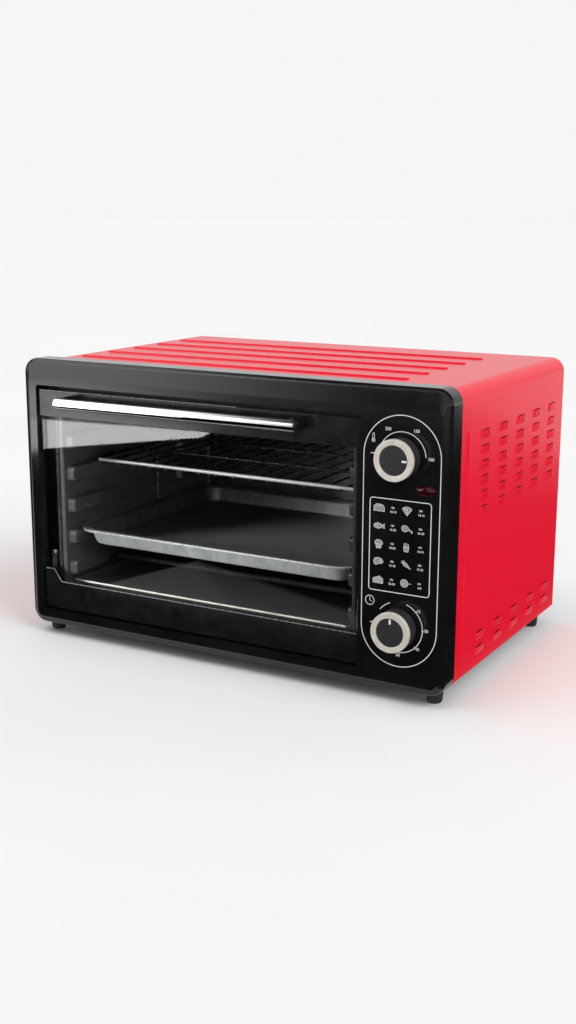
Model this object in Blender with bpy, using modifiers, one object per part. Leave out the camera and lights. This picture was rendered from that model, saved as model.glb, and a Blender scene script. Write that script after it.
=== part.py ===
# Countertop oven with a drop-down glass door, two rotary controls, a wire rack,
# a baking tray and a crumb tray. Metres, +Z up, front at -Y.
# Places in the functions are measured from the middle of the width, from the front
# face of the bezel (y, to the back) and from the lower edge of the bezel (z).
import math

import bmesh
import bpy
from mathutils import Matrix, Vector

# Clearances
SEAT_GAP = 0.0003
OVERRUN = 0.004
MERGE = 0.0001
WELD_BITE = 0.0006
ROUND_SIDES = 24
KNOB_SIDES = 28
LENS_SIDES = 20
SMALL_SIDES = 12
WIRE_SIDES = 6
CORNER_STEPS = 4

# Whole body
BODY_WIDTH = 0.500
BODY_HEIGHT = 0.297
BODY_DEPTH = 0.330
SHEET = 0.001

# Feet
FOOT_HEIGHT = 0.012
FOOT_RADIUS = 0.0085
FOOT_TAPER = 0.001
FOOT_EDGE = 0.0012
FOOT_SIDE_INSET = 0.018
FOOT_FRONT_Y = 0.0235
FOOT_REAR_INSET = 0.030

# Front bezel
BEZEL_DEPTH = 0.027
BEZEL_CORNER = 0.016
BEZEL_ROUND = 0.005
BEZEL_FRONT_WALL = 0.0045
BEZEL_SKIRT = 0.003
CROWN_DROP = 0.0015
CROWN_TOP_BAND = 0.020
CROWN_SIDE_BAND = 0.008
CROWN_CORNER = 0.006
DOOR_BORDER = 0.0175
CONTROL_FIELD = 0.0915
SILL_HEIGHT = 0.0175
HEADER_HEIGHT = 0.028
OPENING_CORNER = 0.0035
SURROUND_WALL = 0.003
SURROUND_DEPTH = 0.020
BOSS_RADIUS = 0.004
BOSS_HEIGHT = 0.0052
BOSS_BITE = 0.001

# Outer cover
COVER_SIDE_STEP = 0.0025
COVER_TOP_STEP = 0.0036
COVER_BOTTOM = 0.007
COVER_CORNER = 0.015
RIB_PITCH = 0.0488
RIB_FIRST_Y = 0.075
RIB_REAR_MARGIN = 0.055
RIB_LEFT_MARGIN = 0.024
RIB_RIGHT_MARGIN = 0.076
RIB_WIDTH = 0.010
RIB_HEIGHT = 0.0016
RIB_BITE = 0.0005
RIB_SIDE_SLOPE = 0.0012
BEAD_Y = 0.052
BEAD_WIDTH = 0.008
BEAD_LOW_MARGIN = 0.025
BEAD_TOP_MARGIN = 0.045
BEAD_HEIGHT = 0.0011
LOUVRE_FIRST_Y = 0.096
LOUVRE_REAR_MARGIN = 0.034
LOUVRE_PITCH_Y = 0.0495
LOUVRE_TOP_MARGIN = 0.0495
LOUVRE_TOP_ROWS = 6
LOUVRE_PITCH_Z = 0.0152
LOUVRE_LOW_MARGIN = 0.042
LOUVRE_LOW_ROWS = 2
LOUVRE_SLIT = 0.020
LOUVRE_BASE = 0.040
LOUVRE_DROP = 0.0085
LOUVRE_RISE = 0.0022
LOUVRE_MOUTH = 0.0008

# Rear panel, cord gland and base pan
REAR_RECESS = 0.002
REAR_SLOT_LENGTH = 0.045
REAR_SLOT_HEIGHT = 0.004
REAR_SLOT_PITCH_X = 0.070
REAR_SLOT_PITCH_Z = 0.012
REAR_SLOT_MARGIN = 0.052
REAR_SLOT_ROWS = 3
GLAND_SIDE_INSET = 0.050
GLAND_Z = 0.045
GLAND_NOSE = 0.008
GLAND_FLANGE_RADIUS = 0.011
GLAND_FLANGE = 0.003
GLAND_RADIUS = 0.006
GLAND_NOSE_RADIUS = 0.0075
GLAND_TAIL = 0.006
GLAND_BORE = 0.0035
PAN_WALL_HEIGHT = 0.013
PAN_SLOT_LENGTH = 0.060
PAN_SLOT_WIDTH = 0.005
PAN_SLOT_PITCH = 0.016
PAN_SLOT_COUNT = 8

# Cooking cavity
CAVITY_SIDE_INSET = 0.0175
CAVITY_SILL = 0.0222
CAVITY_HEADROOM = 0.007
CAVITY_REAR_SPACE = 0.019
RAIL_FIRST = 0.0283
RAIL_PITCH = 0.036
RAIL_COUNT = 4
RACK_RAIL = 3
TRAY_RAIL = 1
RAIL_HEIGHT = 0.017
RAIL_LENGTH = 0.052
RAIL_DEPTH = 0.008
RAIL_ROUND = 0.005
RAIL_FRONT_INSET = 0.0147
RAIL_REAR_INSET = 0.019

# Heating rods
ROD_RADIUS = 0.004
ROD_SIDES = 8
ROD_FRONT_GAP = 0.024
ROD_REAR_GAP = 0.026
ROD_TOP_DROP = 0.014
ROD_LOW_RISE = 0.0163
ROD_COLLAR_RADIUS = 0.007
ROD_COLLAR = 0.010
ROD_PIN_RADIUS = 0.002
ROD_PIN = 0.007

# Shelf parts
SHELF_CLEARANCE = 0.003
RACK_FRONT_INSET = 0.0497
RACK_REAR_GAP = 0.006
RACK_CORNER = 0.010
RACK_FRAME_RADIUS = 0.002
RACK_WIRE_RADIUS = 0.0015
RACK_WIRE_PITCH = 0.0214
RACK_WIRE_MARGIN = 0.012
RACK_WIRE_END = 0.0032
RACK_CROSS_RADIUS = 0.0017
RACK_CROSS_SHARES = (1 / 3, 2 / 3)
TRAY_FRONT_INSET = 0.0087
TRAY_REAR_GAP = 0.005
TRAY_HEIGHT = 0.019
TRAY_SHEET = 0.0008
TRAY_CORNER = 0.028
TRAY_RIM = 0.008
TRAY_RIM_LIP = 0.0016
TRAY_TAPER = 0.006
TRAY_FLOOR_ROUND = 0.003
TRAY_FLOOR_ROUND_SHARE = 0.3
TRAY_LIP_SHARE = 0.5
TRAY_CORNER_SHARE = 0.8
CRUMB_FRONT_INSET = 0.0037
CRUMB_REAR_GAP = 0.006
CRUMB_HEIGHT = 0.0085
CRUMB_CORNER = 0.005
CRUMB_RIM = 0.002

# Door
DOOR_RECESS = 0.003
DOOR_SIDE_GAP = 0.0017
DOOR_LOW_GAP = 0.002
DOOR_TOP_GAP = 0.0052
STRIP_SHEET = 0.0012
STRIP_EDGE = 0.0005
GLASS_THICKNESS = 0.004
GLASS_LIFT = 0.011
TOP_STRIP_HEIGHT = 0.0287
LOW_STRIP_HEIGHT = 0.0313
LOW_STRIP_STEP = 0.0135
LOW_STRIP_STEP_WIDTH = 0.012
LOW_STRIP_STEP_SLOPE = 0.0098
HINGE_LIFT = 0.0065
HINGE_PIN_RADIUS = 0.0018
HINGE_PIN_GAP = 0.0005
HINGE_PIN_REACH = 0.0026
HINGE_BLOCK_LENGTH = 0.024
STAY_RADIUS = 0.055
STAY_WIDTH = 0.005
STAY_SHEET = 0.0015
STAY_INSET = 0.003
STAY_START_DEGREES = 5
STAY_NECK_DEGREES = 16
STAY_END_DEGREES = 106
STAY_STEP_DEGREES = 7
STAY_FOOT_RISE = 0.014
STAY_FOOT_WIDTH = 0.003
STAY_SLOT_BELOW = 0.011
STAY_SLOT_ABOVE = 0.0055
STAY_SLOT_SIDE = 0.001

# Door handle
HANDLE_REACH = 0.018
HANDLE_RADIUS = 0.00575
HANDLE_LEFT_INSET = 0.0395
HANDLE_RIGHT_INSET = 0.0581
HANDLE_DROP = 0.010
HANDLE_END_ROUND = 0.001
POST_RADIUS = 0.0065
POST_REACH = 0.014
POST_BORE_DEPTH = 0.008
SCREW_RADIUS = 0.002
SCREW_TIP_GAP = 0.001
SCREW_HEAD_RADIUS = 0.004
SCREW_HEAD = 0.0022
SCREW_FLAT_SHARE = 0.7
SCREW_RIM_SHARE = 0.4

# Rotary controls
CONTROL_SIDE_INSET = 0.0478
TEMPERATURE_DROP = 0.066
TIMER_Z = 0.0655
KNOB_REACH = 0.021
KNOB_STAND = 0.001
KNOB_RADIUS = 0.0192
KNOB_TAPER = 0.0006
KNOB_FACE_DROP = 0.0012
RING_DEPTH = 0.005
RING_OUTER = 0.0198
RING_INNER = 0.0143
RING_EDGE = 0.0008
POINTER_LENGTH = 0.005
POINTER_WIDTH = 0.002
POINTER_RISE = 0.0004
KNOB_BORE_DEPTH = 0.012
SHAFT_RADIUS = 0.003
SHAFT_HOLE_RADIUS = 0.0045
SHAFT_INSET = 0.003

# Inside the control side
PLATE_Y = 0.010
PLATE_SHEET = 0.0012
PLATE_LEFT_MARGIN = 0.0075
PLATE_RIGHT_MARGIN = 0.008
PLATE_BOTTOM = 0.030
PLATE_TOP_MARGIN = 0.031
PLATE_CORNER = 0.005
PLATE_BOSS_INSET = 0.007
THERMOSTAT_WIDTH = 0.040
THERMOSTAT_DEPTH = 0.020
THERMOSTAT_HEIGHT = 0.030
CERAMIC_ROUND = 0.003
TIMER_RADIUS = 0.024
TIMER_DEPTH = 0.036
TIMER_RIM = 0.0015
BELL_RADIUS = 0.020
BELL_DEPTH = 0.009
BELL_WALL = 0.001
BELL_CROWN_SHARE = 0.6
BELL_SHOULDER_SHARE = 0.9
BELL_SHOULDER_DEPTH_SHARE = 0.7
LAMP_SHIFT = 0.0254
LAMP_DROP = 0.0294
LENS_WIDTH = 0.020
LENS_HEIGHT = 0.0106
LENS_DOME = 0.003
LENS_FLANGE = 0.001
STEM_WIDTH = 0.016
STEM_HEIGHT = 0.008
STEM_DEPTH = 0.008
HOLDER_WIDTH = 0.020
HOLDER_DEPTH = 0.014
HOLDER_HEIGHT = 0.012
HOLDER_ROOM = 0.002
TERMINAL_WIDTH = 0.044
TERMINAL_DEPTH = 0.016
TERMINAL_HEIGHT = 0.018
TERMINAL_SIDE_INSET = 0.054
TERMINAL_REAR_INSET = 0.080
TERMINAL_WAYS = 3
TERMINAL_NOTCH = 0.010
TERMINAL_NOTCH_DEPTH = 0.008

# Worked-out places
FRONT_REACH = max(HANDLE_REACH + HANDLE_RADIUS, KNOB_REACH)
FRONT_Y = (FRONT_REACH - BODY_DEPTH - GLAND_NOSE) / 2
BODY_PLACE = Vector((0, FRONT_Y, FOOT_HEIGHT))
HALF_WIDTH = BODY_WIDTH / 2
OPENING_LEFT = DOOR_BORDER - HALF_WIDTH
OPENING_RIGHT = HALF_WIDTH - CONTROL_FIELD
OPENING_MIDDLE = (OPENING_LEFT + OPENING_RIGHT) / 2
OPENING_BOTTOM = SILL_HEIGHT
OPENING_TOP = BODY_HEIGHT - HEADER_HEIGHT
COVER_HALF = HALF_WIDTH - COVER_SIDE_STEP
COVER_TOP = BODY_HEIGHT - COVER_TOP_STEP
COVER_FRONT_Y = BEZEL_DEPTH + SEAT_GAP
PANEL_Y = BODY_DEPTH - REAR_RECESS - SHEET
PANEL_HALF = COVER_HALF - SHEET - SEAT_GAP
FLANGE_Y = SURROUND_DEPTH + SEAT_GAP
CAVITY_FRONT = FLANGE_Y + SHEET
CAVITY_BACK = BODY_DEPTH - CAVITY_REAR_SPACE
CAVITY_LEFT = OPENING_LEFT + CAVITY_SIDE_INSET
CAVITY_RIGHT = OPENING_RIGHT - CAVITY_SIDE_INSET
CAVITY_BOTTOM = OPENING_BOTTOM + CAVITY_SILL
CAVITY_TOP = OPENING_TOP - CAVITY_HEADROOM
RAIL_TOPS = [CAVITY_BOTTOM + RAIL_FIRST + index * RAIL_PITCH for index in range(RAIL_COUNT)]
RAIL_FRONT_Y = CAVITY_FRONT + RAIL_FRONT_INSET
RAIL_REAR_Y = CAVITY_BACK - RAIL_REAR_INSET - RAIL_LENGTH
ROD_LINES_Y = (RAIL_FRONT_Y + RAIL_LENGTH + ROD_FRONT_GAP, RAIL_REAR_Y - ROD_REAR_GAP)
ROD_LINES_Z = (CAVITY_BOTTOM + ROD_LOW_RISE, CAVITY_TOP - ROD_TOP_DROP)
SHELF_LEFT = CAVITY_LEFT + SHELF_CLEARANCE
SHELF_RIGHT = CAVITY_RIGHT - SHELF_CLEARANCE
RACK_FRONT_Y = CAVITY_FRONT + RACK_FRONT_INSET
RACK_Z = RAIL_TOPS[RACK_RAIL] + SEAT_GAP + RACK_FRAME_RADIUS
TRAY_FRONT_Y = CAVITY_FRONT + TRAY_FRONT_INSET
CRUMB_FRONT_Y = CAVITY_FRONT + CRUMB_FRONT_INSET
DOOR_LEFT = OPENING_LEFT + DOOR_SIDE_GAP
DOOR_RIGHT = OPENING_RIGHT - DOOR_SIDE_GAP
DOOR_BOTTOM = OPENING_BOTTOM + DOOR_LOW_GAP
DOOR_TOP = OPENING_TOP - DOOR_TOP_GAP
GLASS_Y = DOOR_RECESS + STRIP_SHEET + SEAT_GAP
GLASS_BACK = GLASS_Y + GLASS_THICKNESS
GLASS_BOTTOM = DOOR_BOTTOM + GLASS_LIFT
STRIP_BACK = GLASS_BACK + SEAT_GAP
DOOR_BACK = STRIP_BACK + STRIP_SHEET
LOW_STRIP_TOP = DOOR_BOTTOM + LOW_STRIP_HEIGHT
HINGE_Y = GLASS_Y + GLASS_THICKNESS / 2
HINGE_Z = DOOR_BOTTOM + HINGE_LIFT
HANDLE_LEFT = DOOR_LEFT + HANDLE_LEFT_INSET
HANDLE_RIGHT = DOOR_RIGHT - HANDLE_RIGHT_INSET
HANDLE_X = (HANDLE_LEFT + HANDLE_RIGHT) / 2
HANDLE_Z = DOOR_TOP - HANDLE_DROP
POST_XS = (HANDLE_LEFT + POST_RADIUS, HANDLE_RIGHT - POST_RADIUS)
CONTROL_X = HALF_WIDTH - CONTROL_SIDE_INSET
TEMPERATURE_Z = BODY_HEIGHT - TEMPERATURE_DROP
LAMP_X = CONTROL_X + LAMP_SHIFT
LAMP_Z = TEMPERATURE_Z - LAMP_DROP
PLATE_LEFT = OPENING_RIGHT + PLATE_LEFT_MARGIN
PLATE_RIGHT = HALF_WIDTH - PLATE_RIGHT_MARGIN
PLATE_TOP = BODY_HEIGHT - PLATE_TOP_MARGIN
GLAND_X = HALF_WIDTH - GLAND_SIDE_INSET


def clear_scene():
    for item in list(bpy.data.objects):
        bpy.data.objects.remove(item, do_unlink=True)


def new_group(name):
    group = bpy.data.collections.new(name)
    bpy.context.scene.collection.children.link(group)
    return group


def finish(name, colour, roughness, metallic=0.0, clear=False):
    # Principled material with a base colour, roughness and metallic value.
    material = bpy.data.materials.new(name)
    material.use_nodes = True
    shader = material.node_tree.nodes["Principled BSDF"]
    shader.inputs["Base Color"].default_value = (*colour, 1.0)
    shader.inputs["Roughness"].default_value = roughness
    shader.inputs["Metallic"].default_value = metallic
    if clear:
        shader.inputs["Transmission Weight"].default_value = 1.0
    return material


def mesh_object(name, shape, group, material=None, place=BODY_PLACE):
    # Turns a bmesh into an object; place moves it from body places to the world.
    bmesh.ops.translate(shape, vec=place, verts=shape.verts)
    mesh = bpy.data.meshes.new(name)
    shape.to_mesh(mesh)
    shape.free()
    item = bpy.data.objects.new(name, mesh)
    group.objects.link(item)
    if material:
        mesh.materials.append(material)
    return item


def add_block(shape, low, high):
    made = bmesh.ops.create_cube(shape, size=1.0)
    low, high = Vector(low), Vector(high)
    bmesh.ops.scale(shape, vec=high - low, verts=made["verts"])
    bmesh.ops.translate(shape, vec=(low + high) / 2, verts=made["verts"])
    return made["verts"]


def block(name, low, high, group, material=None):
    shape = bmesh.new()
    add_block(shape, low, high)
    return mesh_object(name, shape, group, material)


def blocks(name, corners, group, material=None):
    # Several separate boxes in one object, used as a cutter or joined to a piece.
    shape = bmesh.new()
    for low, high in corners:
        add_block(shape, low, high)
    return mesh_object(name, shape, group, material)


def rounded_block(name, low, high, axis, radius, group, material=None, steps=3):
    # Box whose four edges along one axis are rounded.
    shape = bmesh.new()
    add_block(shape, low, high)
    along = [
        edge for edge in shape.edges
        if abs((edge.verts[1].co - edge.verts[0].co).normalized()[axis]) > 0.5
    ]
    bmesh.ops.bevel(shape, geom=along, offset=radius, segments=steps,
                    profile=0.5, affect="EDGES")
    return mesh_object(name, shape, group, material)


def add_rod(shape, start, end, radius, sides):
    start, end = Vector(start), Vector(end)
    turn = (end - start).to_track_quat("Z", "Y").to_matrix().to_4x4()
    bmesh.ops.create_cone(
        shape, cap_ends=True, segments=sides, radius1=radius, radius2=radius,
        depth=(end - start).length, matrix=Matrix.Translation((start + end) / 2) @ turn,
    )


def rods(name, lines, radius, group, material=None, sides=SMALL_SIDES):
    shape = bmesh.new()
    for start, end in lines:
        add_rod(shape, start, end, radius, sides)
    return mesh_object(name, shape, group, material)


def rounded_ring(left, right, bottom, top, radius, steps=CORNER_STEPS):
    # Rounded rectangle, anticlockwise from the lower right corner.
    centres = (
        (right - radius, bottom + radius, -90),
        (right - radius, top - radius, 0),
        (left + radius, top - radius, 90),
        (left + radius, bottom + radius, 180),
    )
    points = []
    for centre_u, centre_v, first in centres:
        for step in range(steps + 1):
            angle = math.radians(first + 90 * step / steps)
            points.append((centre_u + radius * math.cos(angle),
                           centre_v + radius * math.sin(angle)))
    return points


def loft(name, rings, group, material=None, close_end=True):
    # Skin through rings of the same number of points; the first end is always capped.
    shape = bmesh.new()
    rows = [[shape.verts.new(point) for point in ring] for ring in rings]
    count = len(rows[0])
    for lower, upper in zip(rows, rows[1:]):
        for index in range(count):
            after = (index + 1) % count
            shape.faces.new((lower[index], lower[after], upper[after], upper[index]))
    shape.faces.new(list(reversed(rows[0])))
    if close_end:
        shape.faces.new(rows[-1])
        bmesh.ops.recalc_face_normals(shape, faces=shape.faces)
    return mesh_object(name, shape, group, material)


def curve_to_mesh(item, group, material=None):
    # Replaces a curve object by its welded mesh, at the same place.
    bpy.context.view_layer.update()
    seen = item.evaluated_get(bpy.context.evaluated_depsgraph_get())
    mesh = bpy.data.meshes.new_from_object(seen)
    name = item.name
    place = item.matrix_world.copy()
    bpy.data.objects.remove(item, do_unlink=True)
    shape = bmesh.new()
    shape.from_mesh(mesh)
    bmesh.ops.remove_doubles(shape, verts=shape.verts, dist=MERGE / 10)
    bmesh.ops.recalc_face_normals(shape, faces=shape.faces)
    shape.to_mesh(mesh)
    shape.free()
    made = bpy.data.objects.new(name, mesh)
    made.matrix_world = place
    group.objects.link(made)
    mesh.materials.clear()
    if material:
        mesh.materials.append(material)
    return made


def plate(name, outlines, thickness, facing, middle, group, material=None):
    # Flat outline with a thickness. Facing "front": outline is (x, z) and middle its y;
    # facing "side": outline is (y, z) and middle its x.
    curve = bpy.data.curves.new(name, "CURVE")
    curve.dimensions = "2D"
    curve.fill_mode = "BOTH"
    curve.extrude = thickness / 2
    curve.render_resolution_u = 0
    for outline in outlines:
        spline = curve.splines.new("POLY")
        spline.points.add(len(outline) - 1)
        for point, (u, v) in zip(spline.points, outline):
            point.co = (u, v, 0, 1)
        spline.use_cyclic_u = True
    item = bpy.data.objects.new(name, curve)
    if facing == "front":
        turn = Matrix(((1, 0, 0), (0, 0, -1), (0, 1, 0))).to_4x4()
        shift = Vector((0, middle, 0))
    else:
        turn = Matrix(((0, 0, 1), (1, 0, 0), (0, 1, 0))).to_4x4()
        shift = Vector((middle, 0, 0))
    item.matrix_world = Matrix.Translation(BODY_PLACE + shift) @ turn
    group.objects.link(item)
    return curve_to_mesh(item, group, material)


def tube(name, points, radius, group, material=None, closed=False):
    curve = bpy.data.curves.new(name, "CURVE")
    curve.dimensions = "3D"
    curve.bevel_depth = radius
    curve.bevel_resolution = 2
    curve.render_resolution_u = 0
    curve.use_fill_caps = not closed
    spline = curve.splines.new("POLY")
    spline.points.add(len(points) - 1)
    for point, place in zip(spline.points, points):
        point.co = (*(Vector(place) + BODY_PLACE), 1)
    spline.use_cyclic_u = closed
    item = bpy.data.objects.new(name, curve)
    group.objects.link(item)
    return curve_to_mesh(item, group, material)


def turned(name, profile, place, direction, group, material=None, sides=ROUND_SIDES,
           ring=False):
    # Profile of (radius, distance) points turned about the direction through place.
    # It runs down the outer side, from the far end of the direction to the near one.
    shape = bmesh.new()
    verts = [shape.verts.new((radius, 0, distance)) for radius, distance in profile]
    for first, second in zip(verts, verts[1:]):
        shape.edges.new((first, second))
    if ring:
        shape.edges.new((verts[-1], verts[0]))
    item = mesh_object(name, shape, group, material, place=Vector((0, 0, 0)))
    turn = Vector(direction).to_track_quat("Z", "Y").to_matrix().to_4x4()
    item.matrix_world = Matrix.Translation(Vector(place) + BODY_PLACE) @ turn
    screw = item.modifiers.new("turn", "SCREW")
    screw.steps = sides
    screw.render_steps = sides
    screw.use_merge_vertices = True
    screw.merge_threshold = MERGE / 10
    return item


def tool(item):
    # A cutter or a joined shape: wire in the viewport and not rendered.
    item.display_type = "WIRE"
    item.hide_render = True
    return item


def cut(item, cutter):
    step = item.modifiers.new("cut", "BOOLEAN")
    step.operation = "DIFFERENCE"
    step.object = tool(cutter)
    return item


def join(item, other):
    step = item.modifiers.new("join", "BOOLEAN")
    step.operation = "UNION"
    step.object = tool(other)
    return item


def soften(item, width, segments=1):
    step = item.modifiers.new("edge", "BEVEL")
    step.width = width
    step.segments = segments
    step.limit_method = "ANGLE"
    return item


def thicken(item, thickness):
    step = item.modifiers.new("sheet", "SOLIDIFY")
    step.thickness = thickness
    step.offset = -1
    return item


def carrier(name, place, group):
    # Empty on a joint's axis; the pieces of its body are its children.
    item = bpy.data.objects.new(name, None)
    item.location = Vector(place) + BODY_PLACE
    group.objects.link(item)
    return item


def carry(item, empty):
    bpy.context.view_layer.update()
    item.parent = empty
    item.matrix_parent_inverse = empty.matrix_world.inverted()
    return item


def shade_round(group):
    for item in group.objects:
        if item.type == "MESH":
            item.data.shade_smooth()
            item.data.set_sharp_from_angle(angle=math.radians(35))


def ellipse(centre_x, centre_z, width, height, sides=SMALL_SIDES):
    return [
        (centre_x + width / 2 * math.cos(math.tau * step / sides),
         centre_z + height / 2 * math.sin(math.tau * step / sides))
        for step in range(sides)
    ]


def bezel_ring(side, bottom, top, radius, y):
    half = HALF_WIDTH - side
    return [(x, y, z) for x, z in rounded_ring(-half, half, bottom, BODY_HEIGHT - top, radius)]


def make_bezel(parts, tools, black):
    rings = [bezel_ring(0, 0, 0, BEZEL_CORNER, BEZEL_DEPTH)]
    for degrees in (0, 30, 60, 90):
        angle = math.radians(degrees)
        inset = BEZEL_ROUND * (1 - math.cos(angle))
        y = CROWN_DROP + BEZEL_ROUND * (1 - math.sin(angle))
        rings.append(bezel_ring(inset, inset, inset, BEZEL_CORNER - inset, y))
    rings.append(bezel_ring(CROWN_SIDE_BAND, CROWN_SIDE_BAND, CROWN_TOP_BAND, CROWN_CORNER, 0))
    bezel = loft("front_bezel", rings, parts, black)

    half = HALF_WIDTH - BEZEL_SKIRT
    cut(bezel, rounded_block(
        "bezel_pocket", (-half, BEZEL_FRONT_WALL, BEZEL_SKIRT),
        (half, BEZEL_DEPTH + OVERRUN, BODY_HEIGHT - BEZEL_SKIRT),
        1, BEZEL_CORNER - BEZEL_SKIRT, tools, steps=CORNER_STEPS))
    join(bezel, rounded_block(
        "door_surround",
        (OPENING_LEFT - SURROUND_WALL, BEZEL_FRONT_WALL - BOSS_BITE,
         OPENING_BOTTOM - SURROUND_WALL),
        (OPENING_RIGHT + SURROUND_WALL, SURROUND_DEPTH, OPENING_TOP + SURROUND_WALL),
        1, OPENING_CORNER + SURROUND_WALL, tools, steps=4))
    join(bezel, rods("plate_bosses", [
        ((x, BEZEL_FRONT_WALL - BOSS_BITE, z), (x, BEZEL_FRONT_WALL + BOSS_HEIGHT, z))
        for x in (PLATE_LEFT + PLATE_BOSS_INSET, PLATE_RIGHT - PLATE_BOSS_INSET)
        for z in (PLATE_BOTTOM + PLATE_BOSS_INSET, PLATE_TOP - PLATE_BOSS_INSET)
    ], BOSS_RADIUS, tools))
    cut(bezel, rounded_block(
        "door_opening", (OPENING_LEFT, -OVERRUN, OPENING_BOTTOM),
        (OPENING_RIGHT, SURROUND_DEPTH + OVERRUN, OPENING_TOP),
        1, OPENING_CORNER, tools, steps=4))
    cut(bezel, rods("shaft_holes", [
        ((CONTROL_X, -OVERRUN, z), (CONTROL_X, BEZEL_FRONT_WALL + OVERRUN, z))
        for z in (TEMPERATURE_Z, TIMER_Z)
    ], SHAFT_HOLE_RADIUS, tools))
    cut(bezel, plate(
        "lamp_hole",
        [ellipse(LAMP_X, LAMP_Z, STEM_WIDTH + 2 * SEAT_GAP, STEM_HEIGHT + 2 * SEAT_GAP,
                 LENS_SIDES)],
        2 * (BEZEL_FRONT_WALL + OVERRUN), "front", 0, tools))
    cut(bezel, rods("hinge_holes", [
        ((OPENING_LEFT - SURROUND_WALL - OVERRUN, HINGE_Y, HINGE_Z),
         (OPENING_LEFT + OVERRUN, HINGE_Y, HINGE_Z)),
        ((OPENING_RIGHT - OVERRUN, HINGE_Y, HINGE_Z),
         (OPENING_RIGHT + SURROUND_WALL + OVERRUN, HINGE_Y, HINGE_Z)),
    ], HINGE_PIN_RADIUS + HINGE_PIN_GAP, tools))
    return bezel


def spread(first, last, pitch):
    # Places one pitch apart, from the first to not past the last.
    return [first + index * pitch for index in range(1 + int((last - first) / pitch))]


def cover_profile():
    # Open outline of the wrap, from the lower right corner over the top to the left.
    points = [(COVER_HALF, COVER_BOTTOM)]
    for centre_x, first in ((COVER_HALF - COVER_CORNER, 0), (COVER_CORNER - COVER_HALF, 90)):
        for step in range(CORNER_STEPS + 1):
            angle = math.radians(first + 90 * step / CORNER_STEPS)
            points.append((centre_x + COVER_CORNER * math.cos(angle),
                           COVER_TOP - COVER_CORNER + COVER_CORNER * math.sin(angle)))
    points.append((-COVER_HALF, COVER_BOTTOM))
    return points


def add_louvre(shape, side, y, top, sink, mouth):
    # Pressed scoop, open at its upper edge. Sink moves it into the sheet, mouth lifts it.
    face = COVER_HALF - sink
    root = COVER_HALF - SHEET - OVERRUN if sink else COVER_HALF - SHEET / 2
    crest = face + LOUVRE_RISE
    upper = top + mouth
    lower = top - LOUVRE_DROP
    inner = ((y - LOUVRE_SLIT / 2, upper), (y + LOUVRE_SLIT / 2, upper),
             (y + LOUVRE_BASE / 2, lower), (y - LOUVRE_BASE / 2, lower))
    back = [shape.verts.new((side * root, u, v)) for u, v in inner]
    front = [shape.verts.new((side * face, u, v)) for u, v in inner[2:]]
    tip = [shape.verts.new((side * crest, u, v)) for u, v in inner[:2]]
    faces = (
        (back[0], back[1], back[2], back[3]),
        (tip[0], tip[1], front[0], front[1]),
        (back[0], back[1], tip[1], tip[0]),
        (back[2], back[3], front[1], front[0]),
        (back[1], back[2], front[0], tip[1]),
        (back[3], back[0], tip[0], front[1]),
    )
    for corners in faces:
        shape.faces.new(corners)


def louvres(name, sink, mouth, tools):
    shape = bmesh.new()
    first_top = BODY_HEIGHT - LOUVRE_TOP_MARGIN
    tops = [first_top - row * LOUVRE_PITCH_Z for row in range(LOUVRE_TOP_ROWS)]
    tops += [LOUVRE_LOW_MARGIN - row * LOUVRE_PITCH_Z for row in range(LOUVRE_LOW_ROWS)]
    for side in (-1, 1):
        for y in spread(LOUVRE_FIRST_Y, BODY_DEPTH - LOUVRE_REAR_MARGIN, LOUVRE_PITCH_Y):
            for top in tops:
                add_louvre(shape, side, y, top, sink, mouth)
    bmesh.ops.recalc_face_normals(shape, faces=shape.faces)
    return mesh_object(name, shape, tools)


def make_cover(parts, tools, red):
    shape = bmesh.new()
    rows = [
        (shape.verts.new((x, COVER_FRONT_Y, z)), shape.verts.new((x, BODY_DEPTH, z)))
        for x, z in cover_profile()
    ]
    for (front, back), (next_front, next_back) in zip(rows, rows[1:]):
        shape.faces.new((front, back, next_back, next_front))
    cover = mesh_object("outer_cover", shape, parts, red)
    thicken(cover, SHEET)

    shape = bmesh.new()
    for y in spread(RIB_FIRST_Y, BODY_DEPTH - RIB_REAR_MARGIN, RIB_PITCH):
        add_raised_bar(shape, (RIB_LEFT_MARGIN - HALF_WIDTH, y - RIB_WIDTH / 2),
                       (HALF_WIDTH - RIB_RIGHT_MARGIN, y + RIB_WIDTH / 2),
                       lambda u, v, height: (u, v, COVER_TOP + height), RIB_HEIGHT)
    bmesh.ops.recalc_face_normals(shape, faces=shape.faces)
    join(cover, mesh_object("top_ribs", shape, tools))

    shape = bmesh.new()
    for side in (-1, 1):
        add_raised_bar(shape, (BEAD_Y - BEAD_WIDTH / 2, BEAD_LOW_MARGIN),
                       (BEAD_Y + BEAD_WIDTH / 2, BODY_HEIGHT - BEAD_TOP_MARGIN),
                       lambda u, v, height: (side * (COVER_HALF + height), u, v), BEAD_HEIGHT)
    bmesh.ops.recalc_face_normals(shape, faces=shape.faces)
    join(cover, mesh_object("side_beads", shape, tools))

    join(cover, louvres("louvre_scoops", 0, 0, tools))
    cut(cover, louvres("louvre_hollows", SHEET, LOUVRE_MOUTH, tools))
    return cover


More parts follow.
